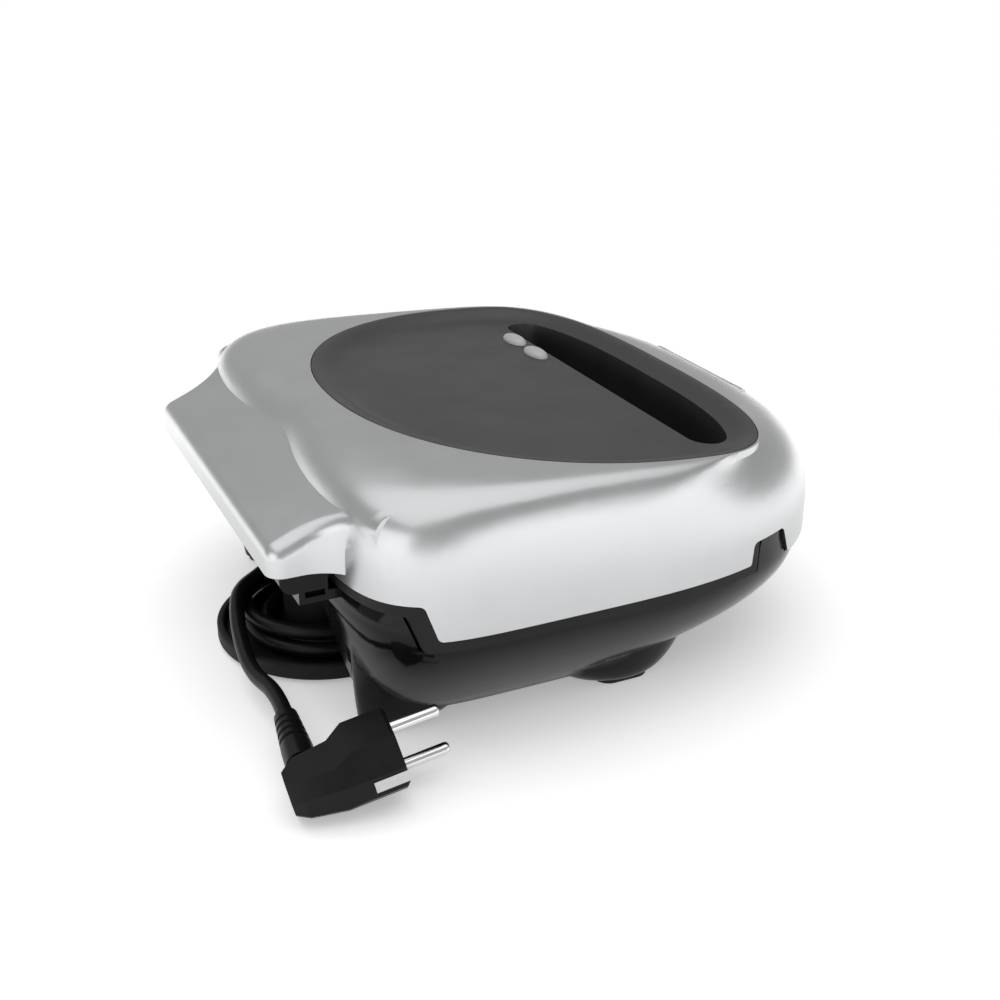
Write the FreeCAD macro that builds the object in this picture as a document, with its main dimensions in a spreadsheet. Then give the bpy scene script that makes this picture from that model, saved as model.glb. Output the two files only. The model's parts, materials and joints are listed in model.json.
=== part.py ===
import FreeCAD, Part
import math
import os

import Sketcher
from FreeCAD import Placement, Rotation, Vector

# Two-slice sandwich maker, closed, with its cord wound under the rear.
# Frame: floor at z = 0, front (grip and latch) towards -Y, hinge towards +Y, symmetric about X = 0.
# A size given as a formula follows the sizes it names.

SIZES = [
    # Main sizes of the lid's silver shell
    ("shell_half_width", 132.0, "lid at its widest, from the middle"),
    ("shell_front", 133.0, "front of the lid, ahead of the origin"),
    ("shell_rear", 108.0, "rear wall of the lid, behind the origin"),
    ("shell_widest_y", 12.0, "where the lid is widest"),
    ("shell_front_power", 2.8, "roundness of the front corners"),
    ("shell_rear_power", 5.8, "roundness of the rear corners"),
    ("shell_wall", 2.5, "wall of the silver shell"),
    ("crown_side_power", 2.6, "crown section at the sides"),
    ("crown_front_power", 2.2, "crown section at the front"),
    ("crown_rear_power", 2.1, "crown section at the rear"),
    ("crown_corner_power", 2.2, "added fullness of the crown at the rear corners"),
    ("crown_rise", 41.7, "crown, from its start to the panel's rim"),
    # Lead and its coil
    ("cord_radius", 3.4, "mains lead"),
    ("turn_gap", 0.7, "between turns of the coil"),
    ("coil_room", 1.0, "room over and under the coil"),
    ("coil_inner", 27.0, "first turn from the winder's axis"),
    ("coil_layer", "=2 * cord_radius + turn_gap", "from one layer of turns to the next"),
    ("coil_outer", "=coil_inner + 1.6 * coil_layer", "outermost turn"),
    ("coil_leave", "=coil_outer - coil_layer", "radius where the lead leaves"),
    ("coil_leave_angle", 41.0, "direction where the lead leaves, degrees"),
    ("gland_length", 14.0, "strain relief at the winder's core"),
    ("gland_half_width", 3.5, "strain relief, across the lead"),
    # Cord winder
    ("winder_setback", 24.7, "axis of the winder, ahead of the lid's rear"),
    ("winder_y", "=shell_rear - winder_setback", "axis of the winder"),
    ("flange_z", 1.6, "underside of the flange"),
    ("flange_thick", 3.2, "winder flange"),
    ("flange_round", 1.4, "rounded edges of the flange"),
    ("flange_margin", 7.6, "flange beyond the coil"),
    ("flange_radius", "=coil_outer + cord_radius + flange_margin", "winder flange"),
    ("lip_height", 4.5, "upturned lip of the flange"),
    ("lip_width", 3.6, "upturned lip of the flange"),
    ("core_clear", 4.1, "between the core and the first turn"),
    ("core_radius", "=coil_inner - cord_radius - core_clear", "winder core"),
    ("core_wall", 2.5, "wall of the core"),
    ("core_post_radius", 5.0, "screw post inside the core"),
    ("coil_lower_z", "=flange_z + flange_thick + cord_radius + coil_room", "lower layer of turns"),
    ("bay_margin", 6.0, "hollow round the flange"),
    ("bay_radius", "=flange_radius + bay_margin", "hollow round the winder"),
    ("bay_ceiling", "=coil_lower_z + 2 * coil_layer + cord_radius + coil_room", "ceiling of the hollow"),
    # Inner frames and cooking plates
    ("base_wall", 2.5, "wall of the base"),
    ("frame_fit", 0.3, "play between shell and frame"),
    ("frame_wall", 2.2, "wall of the frames"),
    ("deck_thick", 2.5, "deck that carries a plate"),
    ("deck_margin", 8.0, "deck clear of the base's raised wall"),
    ("plate_gap", 0.6, "gap between the closed plates"),
    ("plate_margin", 20.0, "plates inside the lid's side"),
    ("plate_front_margin", 89.0, "plates behind the lid's front"),
    ("plate_rear_margin", 27.0, "plates ahead of the lid's rear"),
    ("plate_half_width", "=shell_half_width - plate_margin", "plate from the middle to its side"),
    ("plate_front", "=plate_front_margin - shell_front", "front edge of the plates"),
    ("plate_rear", "=shell_rear - plate_rear_margin", "rear edge of the plates"),
    ("plate_rim", 2.2, "thickness of the plates"),
    ("plate_ledge", 5.0, "rim of a plate on its deck"),
    ("pocket_depth", 11.0, "depth of a sandwich pocket"),
    ("pocket_ridge", 9.0, "ridge between the pockets"),
    ("pocket_margin", 8.0, "rim outside the pockets"),
    ("pocket_draft", 20.0, "slope of the pocket walls, degrees"),
    ("element_radius", 3.3, "heating tube"),
    ("element_margin", 35.5, "legs of the tube inside the plate's edges"),
    ("element_inset", 12.0, "tube ends inside the plate's side"),
    ("element_bend", 34.0, "bend of the tube, from its ends"),
    ("element_front_y", "=plate_front + element_margin", "front leg of the tube"),
    ("element_rear_y", "=plate_rear - element_margin", "rear leg of the tube"),
    ("element_reach", "=plate_half_width - element_inset", "tube ends from the middle"),
    ("element_bend_x", "=element_reach - element_bend", "start of the tube's bend from the middle"),
    ("shield_thick", 0.8, "reflector sheet"),
    ("shield_room", 1.0, "under the lower reflector"),
    ("shield_inset", 5.0, "reflector inside the plate's edge"),
    ("stack", "=plate_gap / 2 + plate_rim + pocket_depth + 2 * element_radius + shield_thick",
     "plate, tube and reflector from the parting plane"),
    ("parting_z", "=bay_ceiling + base_wall + shield_room + stack", "plane between the plates"),
    ("fuse_radius", 2.2, "thermal fuse"),
    ("fuse_length", 13.0, "thermal fuse"),
    ("thermostat_radius", 8.0, "thermostat disc"),
    ("thermostat_x", 34.0, "thermostat from the middle"),
    ("terminal_length", 34.0, "terminal block along X"),
    ("terminal_depth", 16.0, "terminal block along Y"),
    ("terminal_height", 14.0, "terminal block"),
    ("terminal_gap", 14.0, "terminal block ahead of the winder's hollow"),
    ("terminal_y", "=winder_y - bay_radius - base_wall - terminal_gap", "terminal block"),
    # Seam between lid and base, seen from the side
    ("skirt_over", 5.0, "silver skirt over the parting plane"),
    ("skirt_z", "=parting_z + skirt_over", "lower edge of the silver skirt"),
    ("skirt_rise", 15.0, "rise of the skirt's edge at the rear step"),
    ("skirt_rear_z", "=skirt_z + skirt_rise", "lower edge at the rear corners"),
    ("skirt_lip", 4.0, "front lip under the skirt's edge"),
    ("skirt_front_z", "=skirt_z - skirt_lip", "lower edge at the front lip"),
    ("shell_skirt", 8.0, "upright skirt under the crown"),
    ("shell_widest_z", "=skirt_z + shell_skirt", "height where the crown starts"),
    ("step_setback", 28.0, "foot of the rear step, ahead of the lid's rear"),
    ("step_y", "=shell_rear - step_setback", "foot of the rear step"),
    ("step_run", 5.0, "length of the rear step"),
    ("notch_setback", 45.0, "tip of the front lip, behind the lid's front"),
    ("notch_front_y", "=notch_setback - shell_front", "tip of the front lip"),
    ("notch_length", 27.0, "front corner notch"),
    ("notch_rear_y", "=notch_front_y + notch_length", "rear side of the front corner notch"),
    ("notch_slant", 6.0, "slant of the notch's front side"),
    ("notch_rise", 10.0, "height of the notch"),
    ("notch_z", "=skirt_z + notch_rise", "top of the notch"),
    ("band_width", 5.0, "black band under the skirt"),
    ("band_inset", 0.8, "band inside the silver skirt"),
    ("seam_gap", 0.8, "open line between band and base"),
    # Black top panel
    ("inlay_margin", 14.2, "panel inside the lid's side"),
    ("inlay_setback", 94.0, "widest line of the panel, behind the lid's front"),
    ("inlay_front_margin", 40.7, "panel behind the lid's front"),
    ("inlay_rear_margin", 30.5, "panel ahead of the lid's rear"),
    ("inlay_half_width", "=shell_half_width - inlay_margin", "panel, from the middle to its side"),
    ("inlay_y", "=inlay_setback - shell_front", "widest line of the panel"),
    ("inlay_front", "=shell_front + inlay_y - inlay_front_margin", "panel ahead of its widest line"),
    ("inlay_rear", "=shell_rear - inlay_y - inlay_rear_margin", "panel behind its widest line"),
    ("inlay_z", "=shell_widest_z + crown_rise", "height of the panel's rim at its widest line"),
    ("inlay_tilt", 3.15, "panel rises to the rear, degrees"),
    ("inlay_front_power", 2.86, "panel outline at the front"),
    ("inlay_rear_power", 2.15, "panel outline at the rear"),
    ("inlay_gap", 0.4, "line between panel and shell"),
    ("rim_land", 1.0, "flat rim of the shell round the panel"),
    ("seat_depth", 3.0, "panel's flange, let into the shell"),
    ("seat_width", 3.0, "ledge that carries the flange"),
    ("seat_thick", 2.0, "thickness of that ledge"),
    ("dish_depth", 4.5, "hollow of the panel"),
    ("dish_margin", 2.4, "flat edge round the hollow"),
    ("dish_slope", 13.0, "width of the hollow's slope"),
    ("inlay_thick", 2.4, "wall of the panel"),
    ("well_edge", 12.0, "straight rear edge of the grip well, ahead of the panel's widest line"),
    ("well_inset", 10.5, "well from the panel's outline"),
    ("well_depth", 34.0, "depth of the well under the rim"),
    ("well_draft", 7.0, "how far the well draws in towards its floor"),
    ("well_corner", 9.0, "round of the well's rear corners"),
    ("well_wall", 2.2, "wall of the well"),
    # Indicator lamps
    ("lamp_margin", 50.8, "outer lamp inside the panel's side"),
    ("lamp_x", "=inlay_half_width - lamp_margin", "outer lamp from the middle"),
    ("lamp_pitch", 24.0, "between the two lamps"),
    ("lamp_setback", 6.2, "lamps behind the well's edge"),
    ("lamp_half_length", 9.8, "lens along X"),
    ("lamp_half_width", 4.8, "lens along Y"),
    ("lamp_rise", 3.2, "dome of the lens over the panel"),
    ("lamp_fit", 0.15, "play of the lens in its hole"),
    ("lamp_holder_height", 7.0, "holder under the lenses"),
    # Hinge hump
    ("hump_margin", 41.0, "hump's end inside the lid's side"),
    ("hump_half_width", "=shell_half_width - hump_margin", "hump from the middle to its end"),
    ("hump_reach", 24.5, "hump behind the lid's rear wall"),
    ("hump_rear", "=shell_rear + hump_reach", "rear of the hump"),
    ("hump_height", 15.5, "rear of the hump over the skirt's rear edge"),
    ("hump_rear_z", "=skirt_rear_z + hump_height", "roof height at the rear"),
    ("hump_slope", 23.0, "slope of the roof, degrees"),
    ("hump_lift", 4.0, "hump's lower edge over the skirt's rear edge"),
    ("hump_bottom", "=skirt_rear_z + hump_lift", "lower edge of the hump"),
    ("hump_sink", 16.0, "hump inside the crown"),
    ("hump_front", "=shell_rear - hump_sink", "front end of the hump, inside the crown"),
    ("hump_flare", 20.0, "sweep of the hump's ends into the rear corners"),
    ("flare_sink", 1.4, "start of that sweep inside the rear wall"),
    ("hump_round", 7.0, "rounded edges of the hump"),
    # Hinge
    ("hinge_reach", 14.0, "hinge axis behind the lid's rear wall"),
    ("hinge_y", "=shell_rear + hinge_reach", "hinge axis"),
    ("hinge_lift", 1.0, "hinge axis over the skirt's rear edge"),
    ("hinge_z", "=skirt_rear_z + hinge_lift", "hinge axis"),
    ("hinge_pin_radius", 2.5, "hinge pin"),
    ("hinge_play", 0.05, "pin in the lid's knuckle"),
    ("knuckle_radius", 6.0, "hinge knuckles"),
    ("knuckle_clear", 0.5, "base's knuckle inside the hump's end"),
    ("knuckle_outer_x", "=hump_half_width - shell_wall - knuckle_clear", "outer end of the base's knuckle"),
    ("knuckle_length", 12.0, "base's knuckle"),
    ("knuckle_split_x", "=knuckle_outer_x - knuckle_length", "between lid knuckle and base knuckle"),
    ("arm_width", 14.0, "lid's hinge arm and knuckle"),
    ("knuckle_inner_x", "=knuckle_split_x - arm_width", "inner end of the lid's knuckle"),
    ("knuckle_gap", 0.4, "side play of the knuckles"),
    ("knuckle_cap", 3.0, "closed outer end of the base's knuckle"),
    ("arm_height", 9.0, "lid's hinge arm"),
    ("bulkhead_drop", 1.5, "frame's rear wall under the hump's rear edge"),
    ("bulkhead_top", "=hump_rear_z - bulkhead_drop", "rear wall of the frame, inside the hump"),
    ("block_height", 12.0, "base's hinge block"),
    ("block_over", 1.0, "block over the hinge axis"),
    ("block_top", "=hinge_z + block_over", "top of the base's hinge block"),
    ("block_floor", "=block_top - block_height", "underside of the base's hinge block"),
    ("block_clearance", 13.0, "block's front face, ahead of the axis"),
    ("slot_height", 2.6, "slot in the block's end"),
    ("slot_length", 8.0, "slot in the block's end"),
    # Base shell
    ("base_inset", 3.0, "base inside the lid's side"),
    ("latch_room", 7.7, "base behind the lid's front, where the clip hangs"),
    ("base_rear_inset", 2.0, "base inside the lid's rear"),
    ("base_half_width", "=shell_half_width - base_inset", "base at the seam, from the middle"),
    ("base_front", "=shell_front - latch_room", "front of the base at the seam"),
    ("base_front_power", 3.1, "roundness of the base's front corners"),
    ("base_rear", "=shell_rear - base_rear_inset", "rear of the base at the seam"),
    ("base_shoulder", 1.0, "bowl's shoulder under the parting plane"),
    ("base_shoulder_z", "=parting_z - base_shoulder", "height where the bowl starts"),
    ("base_floor_z", 9.0, "underside of the bowl"),
    ("bowl_draw", 30.0, "how far the sides draw in"),
    ("bowl_front_draw", 70.3, "how far the front draws in"),
    ("bowl_rear_draw", 9.0, "how far the rear draws in"),
    ("floor_half_width", "=base_half_width - bowl_draw", "underside from the middle to its side"),
    ("floor_front", "=base_front - bowl_front_draw", "front of the underside"),
    ("floor_rear", "=base_rear - bowl_rear_draw", "rear of the underside"),
    ("bowl_side_power", 1.43, "how the sides draw in"),
    ("bowl_front_power", 2.6, "how the front draws in"),
    ("leg_rear_inset", 13.0, "rear legs inside the underside's side"),
    ("leg_rear_setback", 13.0, "rear legs ahead of the underside's rear"),
    ("leg_front_inset", 7.0, "front legs inside the underside's side"),
    ("leg_front_setback", 36.0, "front legs behind the underside's front"),
    ("leg_rear_x", "=floor_half_width - leg_rear_inset", "rear legs"),
    ("leg_rear_y", "=floor_rear - leg_rear_setback", "rear legs"),
    ("leg_front_x", "=floor_half_width - leg_front_inset", "front legs"),
    ("leg_front_y", "=leg_front_setback - floor_front", "front legs"),
    ("leg_half_length", 14.0, "leg at the foot, along Y"),
    ("leg_half_width", 8.5, "leg at the foot, along X"),
    ("leg_flare_x", 11.0, "how much a leg grows upwards, along X"),
    ("leg_flare_in", 42.0, "how much a leg grows upwards, towards the other leg"),
    ("leg_flare_front", 26.0, "how much a front leg grows upwards, towards the front"),
    ("leg_flare_rear", 3.0, "how much a rear leg grows upwards, towards the rear"),
    ("leg_sink", 8.0, "top of a leg under the bowl's shoulder"),
    ("leg_top", "=base_shoulder_z - leg_sink", "where a leg ends inside the bowl"),
    ("foot_thick", 2.5, "rubber foot"),
    ("foot_inset", 1.5, "foot inside the leg's edge"),
    ("post_radius", 4.0, "screw posts under the lower frame"),
    ("post_front_inset", 42.0, "front posts inside the plates' side"),
    ("post_front_clear", 18.0, "front posts ahead of the plates"),
    ("post_rear_inset", 20.0, "rear posts inside the plates' side"),
    ("post_rear_clear", 6.0, "rear posts behind the plates"),
    ("post_front_x", "=plate_half_width - post_front_inset", "front posts"),
    ("post_front_y", "=plate_front - post_front_clear", "front posts"),
    ("post_rear_x", "=plate_half_width - post_rear_inset", "rear posts"),
    ("post_rear_y", "=plate_rear + post_rear_clear", "rear posts"),
    ("boss_front_spread", 28.0, "front screw bosses beside the clip"),
    ("boss_front_setback", 29.0, "front screw bosses behind the lid's front"),
    ("boss_rear_clear", 7.0, "rear screw bosses beside the plates"),
    ("boss_rear_setback", 21.0, "rear screw bosses ahead of the plates' rear"),
    ("boss_front_x", "=latch_half_width + boss_front_spread", "front screw bosses of the lid"),
    ("boss_front_y", "=boss_front_setback - shell_front", "front screw bosses of the lid"),
    ("boss_rear_x", "=plate_half_width + boss_rear_clear", "rear screw bosses of the lid"),
    ("boss_rear_y", "=plate_rear - boss_rear_setback", "rear screw bosses of the lid"),
    ("screw_radius", 1.5, "screw shanks"),
    ("screw_head_radius", 3.0, "screw heads"),
    ("screw_head_height", 1.8, "screw heads"),
    ("screw_length", 10.0, "screw shanks"),
    ("arch_setback", 15.0, "front of the tall rear arch, ahead of the lid's rear"),
    ("arch_y", "=shell_rear - arch_setback", "front of the tall rear arch"),
    ("arch_drop", 12.0, "top of the arch under the skirt's rear edge"),
    ("arch_top", "=skirt_rear_z - arch_drop", "top of the arch"),
    ("arch_recess", 7.5, "shallow upper part of the arch, ahead of the lid's rear"),
    ("arch_recess_y", "=shell_rear - arch_recess", "front of the arch's upper part"),
    ("arch_inner_drop", 3.0, "deep part of the arch under the parting plane"),
    ("arch_inner_top", "=parting_z - arch_inner_drop", "top of the arch's deep part"),
    ("arch_leg", 10.0, "arch inside the rear legs' middle"),
    ("arch_foot_half", "=leg_rear_x - arch_leg", "arch at the floor"),
    ("arch_lean", 10.0, "how far the arch's sides lean in"),
    ("arch_round", 10.0, "upper corners of the arch"),
    # Latch
    ("latch_half_width", 32.0, "front clip"),
    ("latch_thick", 2.5, "wall of the clip"),
    ("latch_setback", 20.5, "pivot of the clip behind the lid's front"),
    ("latch_y", "=latch_setback - shell_front", "pivot of the clip"),
    ("latch_cover", 2.7, "pivot under the crown's surface"),
    ("latch_barrel", 2.4, "barrel round the pivot"),
    ("latch_pin_radius", 1.2, "pin of the clip"),
    ("latch_play", 0.05, "pin in the barrel"),
    ("latch_gap", 0.5, "line round the clip"),
    ("latch_drop", 12.0, "clip under the parting plane"),
    ("latch_bottom", "=parting_z - latch_drop", "lower edge of the clip"),
    ("hook_half_width", 20.0, "hook of the clip"),
    ("hook_lift", 2.0, "hook over the clip's lower edge"),
    ("hook_z", "=latch_bottom + hook_lift", "underside of the hook"),
    ("hook_height", 2.3, "hook"),
    ("hook_clear", 0.4, "hook ahead of the catch at rest"),
    ("catch_gap", 0.7, "under the catch"),
    ("catch_z", "=hook_z + hook_height + catch_gap", "underside of the catch"),
    ("catch_height", 2.5, "catch on the base"),
    ("catch_reach", 2.0, "catch out of the base's front"),
    ("catch_depth", 4.0, "catch behind the base's front"),
    ("catch_flange", 3.5, "catch's flange, over the catch"),
    # Plug
    ("plug_side", 0.4, "plug's face inside the lid's side"),
    ("plug_setback", 8.7, "plug's face ahead of the lid's rear"),
    ("plug_x", "=plug_side - shell_half_width", "middle of the plug's face"),
    ("plug_y", "=shell_rear - plug_setback", "middle of the plug's face"),
    ("plug_z", 19.9, "middle of the plug's face"),
    ("plug_yaw", -96.8, "plug's lie"),
    ("plug_pitch", -13.2, "plug's lie"),
    ("plug_roll", -85.7, "plug's lie"),
    ("face_half_length", 17.5, "plug face, towards the lead"),
    ("face_half_width", 13.0, "plug face, across the pins"),
    ("face_facet", 8.5, "cut corners of the face"),
    ("face_block", 17.0, "front block of the plug"),
    ("plug_depth", 43.0, "whole plug behind its face"),
    ("grip_start", 7.0, "slope from the front block to the grip"),
    ("grip_half_width", 10.5, "grip behind the front block"),
    ("grip_top", 11.0, "grip, towards the lead"),
    ("back_half_width", 8.0, "back of the plug"),
    ("back_thick", 5.0, "rounded back of the plug"),
    ("pin_radius", 2.4, "plug pins"),
    ("pin_length", 19.0, "plug pins"),
    ("pin_pitch", 19.0, "between the plug pins"),
    ("pin_seat", 10.0, "pins inside the plug"),
    ("earth_width", 5.0, "earth contacts"),
    ("earth_length", 13.0, "earth contacts"),
    ("earth_thick", 0.8, "earth contacts"),
    ("relief_setback", 35.0, "lead's axis behind the face"),
    ("relief_length", 30.5, "ribbed sleeve on the lead"),
    ("relief_smooth", 9.0, "smooth root of the sleeve"),
    ("relief_root_radius", 6.2, "sleeve at the plug"),
    ("relief_tip_radius", 4.8, "sleeve at the lead"),
    ("relief_groove", 0.9, "depth of the sleeve's grooves"),
]

RING_POINTS = 48
MERIDIAN_POINTS = 240
CROWN_STEPS = 15
RING_PIECES = 4
BOWL_STEPS = 8
RELIEF_RIBS = 4
FAR = 400.0

# Free lead between the winding and the sleeve, chosen by hand: share of the way, bow to the rear and sag,
# both in lead radii
TAIL_BOWS = [(0.20, 1.2, -0.6), (0.44, 1.7, -1.5), (0.70, 1.6, -1.7)]

doc = FreeCAD.newDocument("sandwich_maker")
sheet = doc.addObject("Spreadsheet::Sheet", "sizes")
for row, (alias, value, note) in enumerate(SIZES, start=1):
    sheet.set(f"A{row}", alias)
    sheet.setAlias(f"B{row}", alias)
    sheet.set(f"C{row}", note)
for row, (alias, value, note) in enumerate(SIZES, start=1):
    sheet.set(f"B{row}", str(value))
doc.recompute()

nodes = []


def size(alias):
    return float(sheet.get(alias))


def node(label, feature):
    """Keep a finished sub-part under its label."""
    feature.Label = label
    nodes.append(feature)
    return feature


def shaped(label, shape):
    """A sub-part whose freeform shape is worked out here."""
    feature = doc.addObject("Part::Feature", label)
    feature.Shape = shape
    return node(label, feature)


def bound(kind, name, **cells):
    """A primitive whose sizes follow the sheet; a property path may be written with __ for a dot."""
    feature = doc.addObject(kind, name)
    for path, formula in cells.items():
        feature.setExpression(path.replace("__", "."), formula)
    return feature


def place(feature, x="0", y="0", z="0"):
    """Tie a feature's place to the sheet."""
    for axis, formula in zip("xyz", (x, y, z)):
        feature.setExpression(f"Placement.Base.{axis}", formula)
    return feature


def joined(name, parts):
    fuse = doc.addObject("Part::MultiFuse", name)
    fuse.Shapes = parts
    return fuse


# Outlines and forms of the shells

def ring_points(half_width, front, rear, widest_y, front_power, rear_power):
    """Egg-shaped plan outline, as points at even angles round its widest line."""
    points = []
    for step in range(RING_POINTS):
        turn = 2 * math.pi * step / RING_POINTS
        points.append(ring_point(turn, half_width, front, rear, widest_y, front_power, rear_power))
    return points


def ring_point(turn, half_width, front, rear, widest_y, front_power, rear_power):
    across, along = math.cos(turn), math.sin(turn)
    power = rear_power if along >= 0 else front_power
    reach = rear - widest_y if along >= 0 else widest_y - front
    scale = (abs(across / half_width) ** power + abs(along / reach) ** power) ** (-1 / power)
    return scale * across, widest_y + scale * along


def closed_spline(points):
    """Smooth closed wire through points, in equal pieces."""
    count = len(points)
    curve = Part.BSplineCurve()
    steps = [float(step) for step in range(count + 1)]
    curve.interpolate(Points=points, PeriodicFlag=True, Parameters=steps)
    cuts = [count * piece / RING_PIECES for piece in range(RING_PIECES + 1)]
    return Part.Wire([curve.toShape(start, end) for start, end in zip(cuts, cuts[1:])])


def flat_ring(points, z):
    return closed_spline([Vector(x, y, z) for x, y in points])


def prism(points, low, high):
    return Part.Face(flat_ring(points, low)).extrude(Vector(0, 0, high - low))


def box(x_low, x_high, y_low, y_high, z_low, z_high):
    return Part.makeBox(x_high - x_low, y_high - y_low, z_high - z_low, Vector(x_low, y_low, z_low))


def mirrored(shape):
    return shape.mirror(Vector(0, 0, 0), Vector(1, 0, 0))


def rounded_loop(points, radii, lift):
    """Closed wire of straight runs and corner arcs; lift turns a flat point into a space point."""
    edges = []
    ends = []
    for index, corner in enumerate(points):
        before = points[index - 1]
        after = points[(index + 1) % len(points)]
        ends.append(corner_arc(corner, before, after, radii[index]))
    for index, (start, middle, end) in enumerate(ends):
        if middle is not None:
            edges.append(Part.Arc(lift(*start), lift(*middle), lift(*end)).toShape())
        following = ends[(index + 1) % len(ends)][0]
        edges.append(Part.LineSegment(lift(*end), lift(*following)).toShape())
    return Part.Wire(edges)


def corner_arc(corner, before, after, radius):
    if radius == 0:
        return corner, None, corner
    towards = []
    for other in (before, after):
        length = math.dist(corner, other)
        towards.append(((other[0] - corner[0]) / length, (other[1] - corner[1]) / length))
    (ax, ay), (bx, by) = towards
    half = math.acos(max(-1.0, min(1.0, ax * bx + ay * by))) / 2
    reach = radius / math.tan(half)
    mx, my = ax + bx, ay + by
    length = math.hypot(mx, my)
    depth = radius / math.sin(half) - radius
    middle = (corner[0] + mx / length * depth, corner[1] + my / length * depth)
    start = (corner[0] + ax * reach, corner[1] + ay * reach)
    end = (corner[0] + bx * reach, corner[1] + by * reach)
    return start, middle, end


def side_prism(points, radii, half_width=FAR):
    """Solid drawn as a side view (y, z) and run across the whole width."""
    loop = rounded_loop(points, radii, lambda y, z: Vector(-half_width, y, z))
    return Part.Face(loop).extrude(Vector(2 * half_width, 0, 0))


def lid_outline(inset):
    return (
        size("shell_half_width") - inset,
        -size("shell_front") + inset,
        size("shell_rear") - inset,
        size("shell_widest_y"),
        size("shell_front_power"),
        size("shell_rear_power"),
    )


def inlay_outline(inset, centre_y=0.0):
    return (
        size("inlay_half_width") - inset,
        centre_y - size("inlay_front") + inset,
        centre_y + size("inlay_rear") - inset,
        centre_y,
        size("inlay_front_power"),
        size("inlay_rear_power"),
    )


def crown_power(turn):
    """Roundness of the crown's section in a direction: soft at the rear, fuller at the rear corners."""
    side = size("crown_side_power")
    along = math.sin(turn)
    if along < 0:
        return side + (size("crown_front_power") - side) * along ** 2
    corner = size("crown_corner_power") * math.sin(2 * turn) ** 2
    return side + (size("crown_rear_power") - side) * along ** 2 + corner


def rim_z(y):
    return size("inlay_z") + math.tan(math.radians(size("inlay_tilt"))) * (y - size("inlay_y"))


def evenly(points, count):
    """Points at equal steps along a dense chain of points."""
    lengths = [0.0]
    for first, second in zip(points, points[1:]):
        lengths.append(lengths[-1] + first.distanceToPoint(second))
    picked = []
    index = 0
    for step in range(count + 1):
        wanted = lengths[-1] * step / count
        while index < len(points) - 2 and lengths[index + 1] < wanted:
            index += 1
        share = (wanted - lengths[index]) / (lengths[index + 1] - lengths[index])
        picked.append(points[index] + (points[index + 1] - points[index]) * share)
    return picked


def meridian(turn, foot, head, inset, floor_z):
    """Section of the lid from its floor up the skirt and crown to the rim, in even steps."""
    widest_z = size("shell_widest_z")
    share = 2 / crown_power(turn)
    points = [Vector(*foot, floor_z)]
    for step in range(MERIDIAN_POINTS + 1):
        lift = math.pi / 2 * step / MERIDIAN_POINTS
        inward = 1 - max(0.0, math.cos(lift)) ** share if step < MERIDIAN_POINTS else 1.0
        x = foot[0] + (head[0] - foot[0]) * inward
        y = foot[1] + (head[1] - foot[1]) * inward
        points.append(Vector(x, y, widest_z + (rim_z(y) - inset - widest_z) * math.sin(lift) ** share))
    return evenly(points, CROWN_STEPS)


def lid_form(inset, floor_z):
    """The lid's outer form as a solid, drawn in by inset all round."""
    rim_margin = size("inlay_gap") + size("rim_land")
    skirt = ring_points(*lid_outline(inset))
    rim = ring_points(*inlay_outline(inset - rim_margin, size("inlay_y")))
    sections = []
    for step, (foot, head) in enumerate(zip(skirt, rim)):
        sections.append(meridian(2 * math.pi * step / RING_POINTS, foot, head, inset, floor_z))
    wires = [closed_spline([section[step] for section in sections]) for step in range(CROWN_STEPS + 1)]
    return Part.makeLoft(wires, True, False, False, 3)


def crown_z(y):
    """Height of the crown over the front middle line."""
    power = size("crown_front_power")
    front = -size("shell_front")
    rim_front = size("inlay_y") - size("inlay_front") - size("inlay_gap") - size("rim_land")
    inward = (y - front) / (rim_front - front)
    upward = (1 - (1 - inward) ** power) ** (1 / power)
    return size("shell_widest_z") + (rim_z(y) - size("shell_widest_z")) * upward


def hump_roof(y, inset):
    slope = math.radians(size("hump_slope"))
    return size("hump_rear_z") + (size("hump_rear") - y) * math.tan(slope) - inset / math.cos(slope)


def rear_wall_y(x):
    """Rear wall of the lid at a distance from its middle line."""
    half, front, rear, widest, front_power, power = lid_outline(0.0)
    return widest + (rear - widest) * (1 - (x / half) ** power) ** (1 / power)


def hump_form(inset):
    """Hinge hump: a sloping roof whose ends sweep into the lid's rear corners, drawn in by inset."""
    half = size("hump_half_width") - inset
    rear = size("hump_rear") - inset
    front = size("hump_front") - inset
    flare = size("hump_flare") + inset
    wide = half + flare + size("shell_wall")
    foot = rear_wall_y(half) - size("flare_sink") - inset
    foot_end = rear_wall_y(wide) - size("flare_sink") - inset
    bottom = size("hump_bottom")
    plan = [(-wide, front), (wide, front), (wide, foot_end), (half, foot),
            (half, rear), (-half, rear), (-half, foot), (-wide, foot_end)]
    loop = rounded_loop(plan, [0, 0, 0, flare, 0, 0, flare, 0], lambda x, y: Vector(x, y, bottom))
    slab = Part.Face(loop).extrude(Vector(0, 0, FAR))
    margin = size("shell_wall")
    under_roof = [(front - margin, bottom), (front - margin, hump_roof(front - margin, inset)),
                  (rear + margin, hump_roof(rear + margin, inset)), (rear + margin, bottom)]
    slab = slab.common(side_prism(under_roof, [0, 0, 0, 0]))
    soft = []
    for edge in slab.Edges:
        middle = edge.CenterOfMass
        if middle.y > foot + flare / 2 and middle.z > bottom + 1:
            soft.append(edge)
    return slab.makeFillet(size("hump_round") - inset, soft)


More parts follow.
